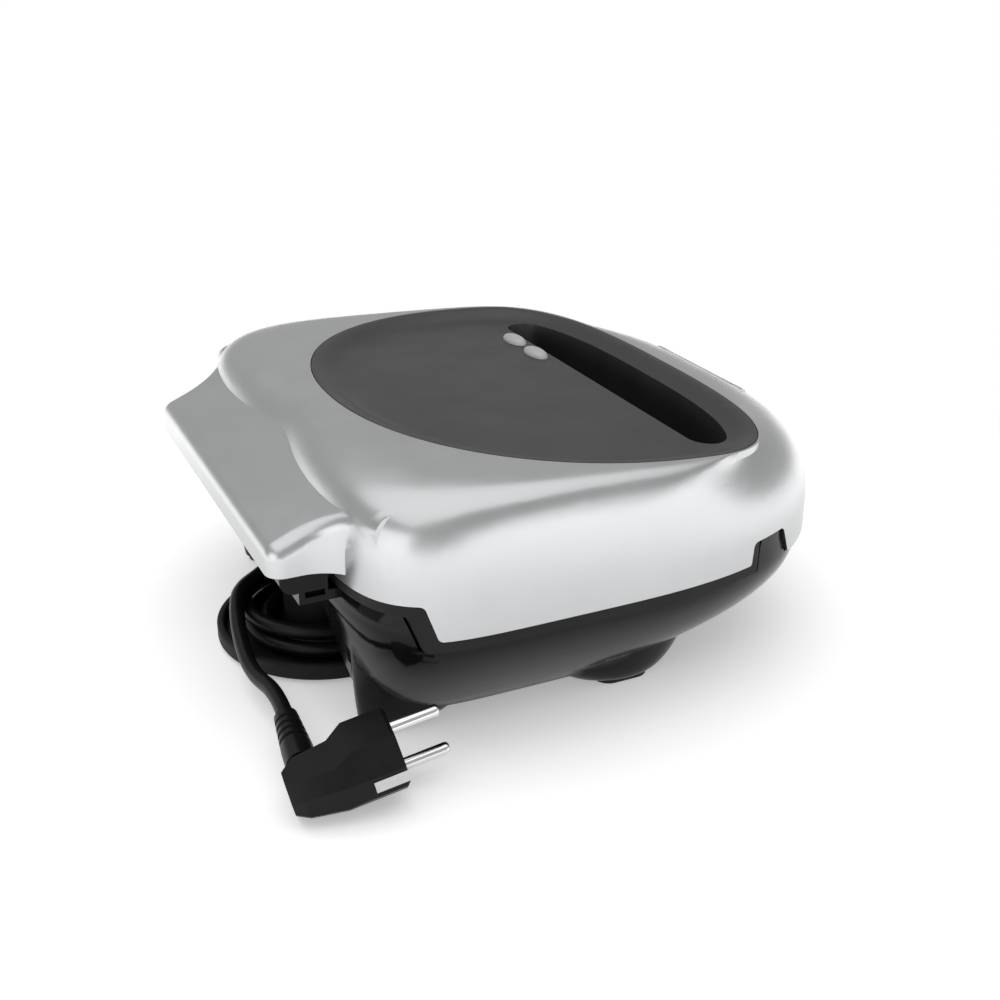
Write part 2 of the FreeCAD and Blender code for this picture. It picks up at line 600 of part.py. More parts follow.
def below_seam(drop, step_shift, front_z, notch):
    """Everything under a line that follows the seam's steps, a given drop under the silver edge."""
    side_z = size("skirt_z") - drop
    rear_z = size("skirt_rear_z") - drop
    step = size("step_y") + step_shift
    bend = size("step_run") / 2
    points = [(-FAR, -FAR), (-FAR, front_z)] + [point for point, radius in notch]
    points += [(step, side_z), (step + size("step_run"), rear_z), (FAR, rear_z), (FAR, -FAR)]
    radii = [0, 0] + [radius for point, radius in notch] + [bend, bend, 0, 0]
    return side_prism(points, radii)


def skirt_line():
    """Silver edge: front lip, corner notch, side, rear step."""
    lip = size("notch_front_y")
    top = size("notch_z")
    rear = size("notch_rear_y")
    return below_seam(0.0, 0.0, size("skirt_front_z"), [
        ((lip, size("skirt_front_z")), 0),
        ((lip + size("notch_slant"), top), size("notch_slant") * 0.6),
        ((rear - 1, top), size("step_run") / 2),
        ((rear, size("skirt_z")), 1.2),
    ])


def band_line():
    """Lower edge of the black band; ahead of its front end the frame stays over the base's ear."""
    drop = size("band_width")
    over_ear = size("notch_z") + size("seam_gap")
    front_end = size("notch_rear_y") - drop
    return below_seam(drop, drop, over_ear, [
        ((front_end, over_ear), 0),
        ((front_end + 0.5, size("skirt_z") - drop), 1.2),
    ])


def base_line():
    """Upper edge of the base: front, ear, side, raised rear."""
    gap = size("seam_gap")
    drop = size("band_width") + gap
    front_z = size("skirt_front_z") - gap
    top = size("notch_z") - gap
    lip = size("notch_front_y") + gap
    rear = size("notch_rear_y") - drop
    return below_seam(drop, drop, front_z, [
        ((lip, front_z), 0),
        ((lip + size("notch_slant"), top), size("notch_slant") * 0.6),
        ((rear - 1, top), size("step_run") / 2),
        ((rear, size("skirt_z") - drop), 1.2),
    ])


# Lid

def on_rim(shape):
    """Turn a shape drawn flat round the panel's middle into its tilted place."""
    shape.Placement = Placement(
        Vector(0, size("inlay_y"), size("inlay_z")),
        Rotation(Vector(1, 0, 0), size("inlay_tilt")),
    )
    return shape


def latch_axis_z():
    return crown_z(size("latch_y")) - size("latch_cover")


def latch_bar(radius, x_low, x_high):
    """Round bar along the latch's pivot."""
    start = Vector(x_low, size("latch_y"), latch_axis_z())
    return Part.makeCylinder(radius, x_high - x_low, start, Vector(1, 0, 0))


def make_upper_shell():
    wall = size("shell_wall")
    low = size("latch_bottom") - 4 * wall
    seat = size("seat_depth")
    outer = lid_form(0.0, low).fuse(hump_form(0.0))
    half = size("hump_half_width") - wall
    rear = size("hump_rear") - wall
    under_hump = box(-half, half, size("hump_front"), rear, low, size("hump_bottom") + wall)
    hollow = hump_form(wall).common(box(-half, half, -FAR, FAR, 0, FAR))
    shell = outer.cut(lid_form(wall, low - wall)).cut(hollow).cut(under_hump)
    recess = prism(ring_points(*inlay_outline(-size("inlay_gap"))), -seat, FAR / 4)
    opening = prism(ring_points(*inlay_outline(size("seat_width"))), -FAR / 4, FAR / 4)
    ledge = prism(ring_points(*inlay_outline(-size("inlay_gap") - wall)), -seat - size("seat_thick"), -seat)
    ledge = on_rim(ledge).common(lid_form(wall / 2, low))
    land = size("rim_land") / 2
    collar = prism(ring_points(*inlay_outline(-size("inlay_gap") - land)), -seat - land, -land / 4)
    shell = shell.fuse(ledge).fuse(on_rim(collar)).cut(on_rim(recess)).cut(on_rim(opening))
    half = size("latch_half_width") + size("latch_gap")
    barrel = size("latch_barrel")
    rear = size("latch_y") + barrel + size("latch_gap")
    shell = shell.cut(box(-half, half, -FAR, rear, 0, FAR))
    ear = half + 2 * barrel
    ears = latch_bar(barrel, half, ear).fuse(latch_bar(barrel, -ear, -half))
    shell = shell.fuse(ears).cut(latch_bar(size("latch_pin_radius"), -ear, ear)).cut(skirt_line())
    deck_top = size("parting_z") + size("plate_gap") / 2 + size("plate_rim") + size("deck_thick")
    inside = lid_form(wall / 2, low)
    for x, y in screw_places("boss"):
        boss = Part.makeCylinder(size("post_radius"), FAR, Vector(x, y, deck_top))
        shell = shell.fuse(boss.common(inside))
    return shell.cut(screw_bores(upper_screws())).removeSplitter()


def well_outline(inset, edge, z):
    """Grip well seen from above: the panel's front outline, closed by a straight rear edge."""
    half, front, rear, centre, front_power, rear_power = inlay_outline(inset)
    end_x = half * (1 - (edge / -front) ** front_power) ** (1 / front_power)
    start = math.atan2(-edge, end_x)
    points = []
    for step in range(RING_POINTS // 2 + 1):
        turn = start + (-math.pi - 2 * start) * step / (RING_POINTS // 2)
        points.append(Vector(*ring_point(turn, half, front, rear, centre, front_power, rear_power), z))
    curve = Part.BSplineCurve()
    curve.interpolate(points)
    return Part.Wire([curve.toShape(), Part.LineSegment(points[-1], points[0]).toShape()])


def well_form(grow, top, floor):
    """Grip well as a solid, grown by grow, drawn in towards its floor and rounded at its rear corners."""
    inset = size("well_inset") - grow
    edge = size("well_edge") - grow
    draft = size("well_draft")
    form = Part.makeLoft([
        well_outline(inset, edge, top),
        well_outline(inset + draft, edge + draft / 3, floor),
    ], True)
    corners = [edge_ for edge_ in form.Edges if edge_.BoundBox.ZLength > abs(top - floor) / 2]
    return form.makeFillet(size("well_corner") + grow, corners)


def make_top_inlay():
    seat = size("seat_depth")
    depth = size("dish_depth")
    thick = size("inlay_thick")
    slope = size("dish_slope")
    margin = size("dish_margin")
    panel = prism(ring_points(*inlay_outline(0.0)), -seat, 0.0)
    tray_inset = size("seat_width") + size("frame_fit")
    tray = Part.makeLoft([
        flat_ring(ring_points(*inlay_outline(tray_inset)), -seat + thick / 2),
        flat_ring(ring_points(*inlay_outline(tray_inset + slope)), -depth - thick),
    ], True)
    hollow_rings = []
    for share in (-0.15, 0.15, 0.4, 0.7, 1.0):
        ring = ring_points(*inlay_outline(margin + slope * share))
        hollow_rings.append(flat_ring(ring, -depth * math.sin(share * math.pi / 2)))
    hollow = Part.makeLoft(hollow_rings, True)
    wall = size("well_wall")
    well = size("well_depth")
    panel = panel.fuse(tray).fuse(well_form(wall, -seat, -well - wall))
    panel = panel.cut(hollow).cut(well_form(0.0, 1.0, -well))
    for middle in lamp_middles():
        panel = panel.cut(lamp_plug(middle, size("lamp_fit"), -2 * depth - thick, 0.0))
    return on_rim(panel.removeSplitter())


def lamp_middles():
    y = -size("well_edge") + size("lamp_setback")
    return [Vector(size("lamp_x") - step * size("lamp_pitch"), y, 0) for step in (0, 1)]


def lamp_plug(middle, grow, low, high):
    """Oval plug through the panel."""
    half_x = size("lamp_half_length") + grow
    half_y = size("lamp_half_width") + grow
    outline = Part.Ellipse(Vector(middle.x, middle.y, low), half_x, half_y)
    return Part.Face(Part.Wire(outline.toShape())).extrude(Vector(0, 0, high - low))


def make_lens(middle):
    """Clear lens: an oval plug with a low dome over the panel's hollow."""
    top = -size("dish_depth")
    dome = Part.makeSphere(1.0)
    spread = FreeCAD.Matrix()
    spread.scale(size("lamp_half_length"), size("lamp_half_width"), size("lamp_rise"))
    dome = dome.transformGeometry(spread)
    dome.translate(Vector(middle.x, middle.y, top))
    low = top - size("inlay_thick")
    dome = dome.cut(box(-FAR, FAR, -FAR, FAR, -FAR, low))
    return on_rim(lamp_plug(middle, 0.0, low, top).fuse(dome).removeSplitter())


def make_lamp_holder():
    """Carrier for both lamps, held under the panel by a flat top."""
    outer, inner = lamp_middles()
    half = size("lamp_half_length") + 3 * size("frame_wall") / 2
    deep = size("lamp_half_width")
    top = -size("dish_depth") - size("inlay_thick")
    holder = box(inner.x - half, outer.x + half, outer.y - deep / 2, outer.y + 2 * deep,
                 top - size("lamp_holder_height"), top)
    return on_rim(holder)


def make_upper_frame():
    inset = size("shell_wall") + size("frame_fit")
    wall = size("frame_wall")
    deck_low = size("parting_z") + size("plate_gap") / 2 + size("plate_rim")
    ring_low = size("skirt_front_z") - 2 * size("band_width")
    ring_top = size("shell_widest_z") + wall
    ring = prism(ring_points(*lid_outline(inset)), ring_low, ring_top)
    ring = ring.cut(prism(ring_points(*lid_outline(inset + wall)), ring_low - wall, ring_top + wall))
    deck = prism(ring_points(*lid_outline(inset + wall / 2)), deck_low, deck_low + size("deck_thick"))
    room = band_line().cut(prism(ring_points(*lid_outline(inset + size("deck_margin"))), -FAR, FAR))
    frame = ring.fuse(deck).cut(room).fuse(make_band(inset + wall / 2, ring_low))
    frame = frame.cut(plate_window(deck_low - wall, deck_low + 2 * size("deck_thick")))
    rear = size("shell_rear") - inset
    reach = size("knuckle_outer_x")
    bulkhead = box(-reach, reach, rear - wall - size("frame_fit"), rear - size("frame_fit"),
                   size("skirt_rear_z") - size("band_width"), size("bulkhead_top"))
    frame = frame.fuse(bulkhead)
    for side in (1, -1):
        arm = hinge_arm()
        frame = frame.fuse(arm if side > 0 else mirrored(arm))
    bore = hinge_bar(size("hinge_pin_radius") + size("hinge_play"), -FAR, FAR)
    return frame.cut(bore).cut(screw_bores(upper_screws())).removeSplitter()


def make_band(inner, low):
    """Black band in line with the silver skirt, just under its edge."""
    high = size("skirt_rear_z")
    band = prism(ring_points(*lid_outline(size("band_inset"))), low, high)
    band = band.cut(prism(ring_points(*lid_outline(inner)), low, high))
    under_skirt = skirt_line()
    under_skirt.translate(Vector(0, 0, -size("frame_fit")))
    return band.common(under_skirt).cut(band_line())


def plate_window(low, high):
    """Opening of a deck, inside the plate's ledge."""
    ledge = size("plate_ledge")
    half = size("plate_half_width") - ledge
    return box(-half, half, size("plate_front") + ledge, size("plate_rear") - ledge, low, high)


def hinge_bar(radius, x_low, x_high):
    start = Vector(x_low, size("hinge_y"), size("hinge_z"))
    return Part.makeCylinder(radius, x_high - x_low, start, Vector(1, 0, 0))


def hinge_arm():
    """Arm from the frame's rear wall to the lid's knuckle, on the +X side."""
    low_x = size("knuckle_inner_x")
    high_x = size("knuckle_split_x") - size("knuckle_gap")
    rear = size("shell_rear") - size("shell_wall") - 2 * size("frame_fit") - size("frame_wall") / 2
    half = size("arm_height") / 2
    arm = box(low_x, high_x, rear, size("hinge_y"), size("hinge_z") - half, size("hinge_z") + half)
    return arm.fuse(hinge_bar(size("knuckle_radius"), low_x, high_x))


def make_latch():
    """Front clip: a piece of the lid's own skin, with its barrel."""
    half = size("latch_half_width")
    thick = size("latch_thick")
    low = size("latch_bottom")
    skin = lid_form(0.0, low).cut(lid_form(thick, low - thick))
    barrel = size("latch_barrel")
    skin = skin.common(box(-half, half, -FAR, size("latch_y") + barrel / 2, low, FAR))
    clip = skin.fuse(latch_bar(barrel, -half, half))
    return clip.cut(latch_bar(size("latch_pin_radius") + size("latch_play"), -FAR, FAR)).removeSplitter()


def make_latch_hook():
    """Hook fixed to the inside of the clip, with its tip just ahead of the catch."""
    half = size("hook_half_width")
    low = size("hook_z")
    tip = -size("base_front") - size("catch_reach") - size("hook_clear")
    bar = box(-half, half, -FAR, tip, low, low + size("hook_height"))
    return bar.common(lid_form(size("latch_thick"), size("latch_bottom") - size("latch_thick")))


def make_catch():
    """Catch through the base's front wall, with a flange behind the wall."""
    length = "2 * sizes.hook_half_width"
    tongue = bound("Part::Box", "catch_tongue", Length=length, Height="sizes.catch_height",
                   Width="sizes.catch_reach + sizes.catch_depth")
    place(tongue, "-sizes.hook_half_width", "-sizes.base_front - sizes.catch_reach", "sizes.catch_z")
    flange = bound("Part::Box", "catch_flange_plate", Length=length, Width="sizes.catch_depth / 8",
                   Height="sizes.catch_height + sizes.catch_flange")
    place(flange, "-sizes.hook_half_width", "-sizes.base_front + sizes.catch_depth * 7 / 8", "sizes.catch_z")
    return node("latch_catch", joined("catch_plate", [tongue, flange]))


# Cooking plates and heaters

def polygon_sketch(body, name, z, loops):
    """Flat sketch at height z whose corners are all tied to the sheet by formulas."""
    sketch = body.newObject("Sketcher::SketchObject", name)
    plane = [part for part in body.Origin.OriginFeatures if part.Role == "XY_Plane"][0]
    sketch.AttachmentSupport = (plane, [""])
    sketch.MapMode = "FlatFace"
    sketch.setExpression("AttachmentOffset.Base.z", z)
    for corners in loops:
        add_loop(sketch, corners)
    return sketch


def add_loop(sketch, corners):
    count = len(corners)
    points = [Vector(value(x), value(y), 0) for x, y in corners]
    first = sketch.GeometryCount
    for index in range(count):
        sketch.addGeometry(Part.LineSegment(points[index], points[(index + 1) % count]), False)
    for index in range(count):
        following = first + (index + 1) % count
        sketch.addConstraint(Sketcher.Constraint("Coincident", first + index, 2, following, 1))
    for index, (x, y) in enumerate(corners):
        for direction, formula in (("DistanceX", x), ("DistanceY", y)):
            number = sketch.addConstraint(
                Sketcher.Constraint(direction, -1, 1, first + index, 1, value(formula))
            )
            sketch.setExpression(f"Constraints[{number}]", formula)


def value(formula):
    """Number that a formula of the sheet gives now."""
    sheet.set("D1", "=" + formula.replace("sizes.", ""))
    sheet.recompute()
    return float(sheet.get("D1"))


def pocket_loops(inward):
    """Four triangles, two in each slice's square, inward by a formula's distance."""
    loops = []
    ridge = f"(sizes.pocket_ridge / 2 + {inward})"
    rim = f"(sizes.pocket_margin + {inward})"
    near, far = ridge, f"(sizes.plate_half_width - {rim})"
    low, high = f"(sizes.plate_front + {rim})", f"(sizes.plate_rear - {rim})"
    lean = f"(1.7 * {ridge})"
    for sign in ("", "-"):
        inner, outer = f"{sign}{near}", f"{sign}{far}"
        loops.append([(inner, low), (f"{sign}({far} - {lean})", low), (inner, f"{high} - {lean}")])
        loops.append([(outer, high), (f"{sign}({near} + {lean})", high), (outer, f"{low} + {lean}")])
    return loops


def make_plate(label, upward):
    """Non-stick plate: a flat rim with four pockets pressed up or down out of it."""
    body = doc.addObject("PartDesign::Body", label + "_body")
    sign = "+" if upward else "-"
    face = f"sizes.parting_z {sign} sizes.plate_gap / 2"
    half = "sizes.plate_half_width"
    rim = polygon_sketch(body, label + "_rim", face, [[
        ("-" + half, "sizes.plate_front"), (half, "sizes.plate_front"),
        (half, "sizes.plate_rear"), ("-" + half, "sizes.plate_rear"),
    ]])
    slab = body.newObject("PartDesign::Pad", label + "_slab")
    slab.Profile = rim
    slab.Reversed = not upward
    slab.setExpression("Length", "sizes.plate_rim")
    doc.recompute()
    swell = body.newObject("PartDesign::Pad", label + "_swell")
    swell.Profile = polygon_sketch(body, label + "_swell_lines", face, pocket_loops("-sizes.plate_rim"))
    swell.Reversed = not upward
    swell.setExpression("Length", "sizes.pocket_depth + sizes.plate_rim")
    swell.setExpression("TaperAngle", "-sizes.pocket_draft")
    doc.recompute()
    hollow = body.newObject("PartDesign::Pocket", label + "_hollow")
    hollow.Profile = polygon_sketch(body, label + "_hollow_lines", face, pocket_loops("0"))
    hollow.Reversed = upward
    hollow.setExpression("Length", "sizes.pocket_depth")
    hollow.setExpression("TaperAngle", "-sizes.pocket_draft")
    doc.recompute()
    body.Tip = hollow
    return node(label, body)


def pocket_floor(upward):
    """Formula for the outer face of a plate's pockets."""
    sign = "+" if upward else "-"
    return f"sizes.parting_z {sign} (sizes.plate_gap / 2 + sizes.pocket_depth + sizes.plate_rim)"


def make_element(label, upward):
    """Heating tube in a U on the back of a plate."""
    sign = "+" if upward else "-"
    height = f"{pocket_floor(upward)} {sign} sizes.element_radius"
    span = "(sizes.element_rear_y - sizes.element_front_y)"
    parts = []
    for leg in ("front", "rear"):
        tube = bound("Part::Cylinder", f"{label}_{leg}", Radius="sizes.element_radius",
                     Height="sizes.element_reach + sizes.element_bend_x")
        tube.Placement.Rotation = Rotation(Vector(0, 1, 0), 90)
        parts.append(place(tube, "-sizes.element_bend_x", f"sizes.element_{leg}_y", height))
    bend = bound("Part::Torus", f"{label}_bend", Radius1=f"{span} / 2", Radius2="sizes.element_radius")
    bend.Angle3 = 180
    bend.Placement.Rotation = Rotation(Vector(0, 0, 1), 90)
    middle = "(sizes.element_front_y + sizes.element_rear_y) / 2"
    parts.append(place(bend, "-sizes.element_bend_x", middle, height))
    return node(label, joined(label + "_tube", parts))


def make_shield(label, upward):
    """Reflector sheet over the back of a heating tube."""
    low = "sizes.parting_z + sizes.stack - sizes.shield_thick" if upward else "sizes.parting_z - sizes.stack"
    sheet_metal = bound("Part::Box", label + "_sheet", Height="sizes.shield_thick",
                        Length="2 * (sizes.plate_half_width - sizes.shield_inset)",
                        Width="sizes.plate_rear - sizes.plate_front - 2 * sizes.shield_inset")
    x = "sizes.shield_inset - sizes.plate_half_width"
    place(sheet_metal, x, "sizes.plate_front + sizes.shield_inset", low)
    return node(label, sheet_metal)


def make_thermostat():
    disc = bound("Part::Cylinder", "thermostat_disc", Radius="sizes.thermostat_radius",
                 Height="2 * sizes.element_radius - sizes.frame_fit")
    middle = "(sizes.element_front_y + sizes.element_rear_y) / 2"
    place(disc, "sizes.thermostat_x", middle,
          f"{pocket_floor(False)} - 2 * sizes.element_radius + sizes.frame_fit")
    return node("thermostat", disc)


def make_fuse():
    """Thermal fuse lying on the upper plate's pockets between the legs of the tube."""
    fuse = bound("Part::Cylinder", "fuse_case", Radius="sizes.fuse_radius", Height="sizes.fuse_length")
    fuse.Placement.Rotation = Rotation(Vector(0, 1, 0), 90)
    middle = "(sizes.element_front_y + sizes.element_rear_y) / 2"
    place(fuse, "sizes.thermostat_x", middle, f"{pocket_floor(True)} + sizes.fuse_radius")
    return node("thermal_fuse", fuse)


def make_terminal_block():
    """Terminal block on the base's floor."""
    block = bound("Part::Box", "terminal_case", Length="sizes.terminal_length",
                  Width="sizes.terminal_depth", Height="sizes.terminal_height")
    place(block, "-sizes.terminal_length / 2", "sizes.terminal_y - sizes.terminal_depth / 2",
          "sizes.base_floor_z + sizes.base_wall")
    return node("terminal_block", block)


# Base

def bowl_outline(z, inset):
    """Plan outline of the base at a height."""
    shoulder = size("base_shoulder_z")
    share = max(0.0, min(1.0, (shoulder - z) / (shoulder - size("base_floor_z"))))
    half = size("base_half_width") - size("bowl_draw") * share ** size("bowl_side_power")
    front = size("base_front") - size("bowl_front_draw") * share ** size("bowl_front_power")
    rear = size("base_rear") - size("bowl_rear_draw") * share
    return (half - inset, -front + inset, rear - inset,
            size("shell_widest_y"), size("base_front_power"), size("shell_rear_power"))


def bowl_form(inset, top):
    """The base's bowl as a solid, drawn in by inset and raised by it."""
    low = size("base_floor_z") + inset
    shoulder = size("base_shoulder_z") + inset
    heights = [low + (shoulder - low) * step / BOWL_STEPS for step in range(BOWL_STEPS + 1)]
    heights += [(shoulder + top) / 2, top]
    return Part.makeLoft([flat_ring(ring_points(*bowl_outline(z - inset, inset)), z) for z in heights], True)


def oval(x, y, z, half_x, half_y):
    curve = Part.Ellipse(Vector(x, y + half_y, z), Vector(x + half_x, y, z), Vector(x, y, z))
    return Part.Wire(curve.toShape())


def leg_forms(inset):
    """All four legs as lofts that grow from the foot up into the bowl."""
    inward = size("leg_flare_in")
    kinds = [
        (size("leg_rear_x"), size("leg_rear_y"), inward, size("leg_flare_rear")),
        (size("leg_front_x"), size("leg_front_y"), size("leg_flare_front"), inward),
    ]
    low = size("foot_thick") + 2 * inset
    high = size("leg_top")
    forms = []
    for x, y, ahead, behind in kinds:
        for side in (1, -1):
            wires = []
            for share in (0.0, 0.25, 0.5, 0.75, 1.0):
                half_x = size("leg_half_width") + size("leg_flare_x") * share - inset
                half_y = size("leg_half_length") + (ahead + behind) / 2 * share - inset
                middle = y + (behind - ahead) / 2 * share
                wires.append(oval(side * x, middle, low + (high - low) * share ** 2, half_x, half_y))
            forms.append(Part.makeLoft(wires, True))
    return forms


def bay_form(grow):
    """Hollow for the winder: a round room under the plate, and a rear arch that is shallow at its top."""
    middle = Vector(0, size("winder_y"), -FAR)
    room = Part.makeCylinder(size("bay_radius") + grow, FAR + size("bay_ceiling") + grow, middle)
    deep = arch_form(grow, size("arch_y"), size("arch_inner_top"))
    return room.fuse(deep).fuse(arch_form(grow, size("arch_recess_y"), size("arch_top")))


def arch_form(grow, front, ceiling):
    """Rear arch from a front face backwards, up to a ceiling; its sides lean in evenly."""
    foot = size("arch_foot_half") + grow
    lean = size("arch_lean") / size("arch_top")
    top = foot - lean * ceiling
    corners = [(-foot, 0.0), (foot, 0.0), (top, ceiling + grow), (-top, ceiling + grow)]
    rounds = [0, 0, size("arch_round"), size("arch_round")]
    loop = rounded_loop(corners, rounds, lambda x, z: Vector(x, front - grow, z))
    arch = Part.Face(loop).extrude(Vector(0, FAR, 0))
    return arch.fuse(box(-foot, foot, front - grow, front + FAR, -FAR, 0.0))


def screw_places(kind):
    """Plan places of the four posts of the base or bosses of the lid."""
    places = []
    for end in ("front", "rear"):
        x, y = size(f"{kind}_{end}_x"), size(f"{kind}_{end}_y")
        places += [(x, y), (-x, y)]
    return places


def lower_deck_low():
    return size("parting_z") - size("plate_gap") / 2 - size("plate_rim") - size("deck_thick")


def hinge_block():
    """Block with the base's hinge knuckle, on the +X side, closed at its outer end and with a slot there."""
    low_x = size("knuckle_split_x")
    high_x = size("knuckle_outer_x")
    wall = size("base_wall")
    rear = size("hinge_y") - wall / 2
    wall_y = size("base_rear") - 2 * wall
    seam = size("skirt_rear_z") - size("band_width") - size("seam_gap")
    front = size("hinge_y") - size("block_clearance")
    floor = size("block_floor")
    block = box(low_x, high_x, wall_y, rear, floor, seam)
    block = block.fuse(box(low_x, high_x, front, rear, floor, size("block_top")))
    block = block.fuse(hinge_bar(size("knuckle_radius"), low_x, high_x))
    slot = box(high_x - wall, high_x + wall, front + wall / 2, front + wall / 2 + size("slot_length"),
               floor + wall, floor + wall + size("slot_height"))
    bore = hinge_bar(size("hinge_pin_radius"), low_x - wall, high_x - size("knuckle_cap"))
    return block.cut(slot).cut(bore)


def make_lower_shell():
    wall = size("base_wall")
    top = size("notch_z") + 2 * wall
    outer = bowl_form(0.0, top)
    hollow = bowl_form(wall, top + wall)
    for leg in leg_forms(0.0):
        outer = outer.fuse(leg)
    for leg in leg_forms(wall):
        hollow = hollow.fuse(leg)
    hollow = hollow.cut(bay_form(wall))
    deck = lower_deck_low()
    for x, y in screw_places("post"):
        hollow = hollow.cut(Part.makeCylinder(size("post_radius"), deck, Vector(x, y, 0)))
    half = size("hook_half_width")
    front = -size("base_front")
    catch = size("catch_z")
    slit = box(-half, half, front - wall, front + size("catch_depth"), catch, catch + size("catch_height"))
    shell = outer.cut(hollow).cut(bay_form(0.0)).cut(slit).common(base_line())
    block = hinge_block()
    shell = shell.fuse(block).fuse(mirrored(block))
    return shell.cut(screw_bores(lower_screws())).cut(screw_bores(winder_screws())).removeSplitter()


def make_lower_frame():
    """Deck round the lower plate, on the base's posts."""
    low = lower_deck_low()
    inset = size("base_wall") + size("frame_fit")
    thick = size("deck_thick")
    outline = ring_points(*bowl_outline(low - inset, inset + size("frame_fit")))
    deck = prism(outline, low, low + thick).cut(bay_form(inset))
    deck = deck.cut(plate_window(low - thick, low + 2 * thick))
    half = size("hook_half_width") + inset
    behind_catch = -size("base_front") + size("catch_depth") + size("frame_fit")
    deck = deck.cut(box(-half, half, -FAR, behind_catch, low - thick, low + 2 * thick))
    return deck.cut(screw_bores(lower_screws())).removeSplitter()


def make_foot(label, side, end):
    """Rubber pad under a leg, in plan a straight stretch with two round ends."""
    radius = "(sizes.leg_half_width - sizes.foot_inset)"
    straight = "(sizes.leg_half_length - sizes.leg_half_width)"
    x = f"{side} * sizes.leg_{end}_x"
    parts = []
    for sign in ("+", "-"):
        pad = bound("Part::Cylinder", f"{label}_end", Radius=radius, Height="sizes.foot_thick")
        parts.append(place(pad, x, f"sizes.leg_{end}_y {sign} {straight}"))
    bar = bound("Part::Box", f"{label}_bar", Length=f"2 * {radius}", Width=f"2 * {straight}",
                Height="sizes.foot_thick")
    parts.append(place(bar, f"{x} - {radius}", f"sizes.leg_{end}_y - {straight}"))
    return node(label, joined(label + "_pad", parts))


def make_hinge_pin(label, side):
    """Steel pin through both knuckles of one side."""
    length = "(sizes.knuckle_outer_x - sizes.knuckle_cap - sizes.knuckle_inner_x)"
    pin = bound("Part::Cylinder", label + "_bar", Radius="sizes.hinge_pin_radius", Height=length)
    pin.Placement.Rotation = Rotation(Vector(0, 1, 0), 90)
    start = "sizes.knuckle_inner_x" if side > 0 else "sizes.knuckle_cap - sizes.knuckle_outer_x"
    place(pin, start, "sizes.hinge_y", "sizes.hinge_z")
    return node(label, pin)


def make_latch_pin():
    half = "(sizes.latch_half_width + sizes.latch_gap + 2 * sizes.latch_barrel)"
    pin = bound("Part::Cylinder", "latch_bar", Radius="sizes.latch_pin_radius", Height=f"2 * {half}")
    pin.Placement = Placement(Vector(0, 0, latch_axis_z()), Rotation(Vector(0, 1, 0), 90))
    pin.setExpression("Placement.Base.x", f"-{half}")
    pin.setExpression("Placement.Base.y", "sizes.latch_y")
    return node("latch_pin", pin)


# Screws: each is (seat of the head, direction of the shank)

def lower_screws():
    top = lower_deck_low() + size("deck_thick")
    return [(Vector(x, y, top), Vector(0, 0, -1)) for x, y in screw_places("post")]


def upper_screws():
    low = size("parting_z") + size("plate_gap") / 2 + size("plate_rim")
    return [(Vector(x, y, low), Vector(0, 0, 1)) for x, y in screw_places("boss")]


def winder_screws():
    return [(Vector(0, size("winder_y"), size("flange_z") + size("flange_thick")), Vector(0, 0, 1))]


def screw_bores(screws):
    radius, length = size("screw_radius"), size("screw_length")
    return Part.makeCompound([Part.makeCylinder(radius, length, seat, way) for seat, way in screws])


def make_screws(label, screws):
    """Round-headed screws of one kind, as a group of solids."""
    solids = []
    for seat, way in screws:
        shank = Part.makeCylinder(size("screw_radius"), size("screw_length"), seat, way)
        head = Part.makeCylinder(size("screw_head_radius"), size("screw_head_height"), seat, way * -1)
        solids.append(shank.fuse(head).removeSplitter())
    return shaped(label, Part.makeCompound(solids))


# Winder, cord and plug

def make_winder():
    """Spool under the rear: flange with a raised lip, hollow core and the screw post in it."""
    axis = Vector(0, size("winder_y"), 0)
    low = axis + Vector(0, 0, size("flange_z"))
    top = low + Vector(0, 0, size("flange_thick"))
    lip = size("lip_height")
    flange = Part.makeCylinder(size("flange_radius"), size("flange_thick") + lip, low)
    flange = flange.cut(Part.makeCylinder(size("flange_radius") - size("lip_width"), lip, top))
    rims = [edge for edge in flange.Edges if edge.Closed]
    flange = flange.makeFillet(size("flange_round"), rims)
    rise = size("bay_ceiling") - top.z
    core = Part.makeCylinder(size("core_radius"), rise, top)
    core = core.cut(Part.makeCylinder(size("core_radius") - size("core_wall"), rise, top))
    post = Part.makeCylinder(size("core_post_radius"), rise, top)
    spool = flange.fuse(core).fuse(post)
    head = Part.makeCylinder(size("screw_head_radius"), top.z, axis)
    return spool.cut(head).cut(screw_bores(winder_screws())).removeSplitter()


def polar(radius, degrees, z):
    turn = math.radians(degrees)
    return Vector(radius * math.cos(turn), size("winder_y") + radius * math.sin(turn), z)


def coil_route():
    """Quarter-turn stations of the winding, planned as (share of the outward way, layer)."""
    out = [(step / 6, 0.0) for step in range(7)]
    climb = [(1.0, 0.7), (1.0, 1.0)]
    back = [(0.5, 1.0), (0.0, 1.0)]
    over = [(0.0, 1.5), (0.0, 2.0)]
    plan = out + climb + back + over
    stations = []
    for index, (share, layer) in enumerate(plan):
        angle = size("coil_leave_angle") - 90.0 * (len(plan) - 1 - index)
        inner = size("coil_inner") if layer == 0 else size("coil_leave")
        radius = inner + (size("coil_outer") - inner) * share
        stations.append(polar(radius, angle, size("coil_lower_z") + size("coil_layer") * layer))
    return stations


def route_tangents(points, first, last):
    """Direction at each station: the middle ones follow their neighbours."""
    ways = [first]
    for index in range(1, len(points) - 1):
        ways.append((points[index + 1] - points[index - 1]).normalize())
    return ways + [last]


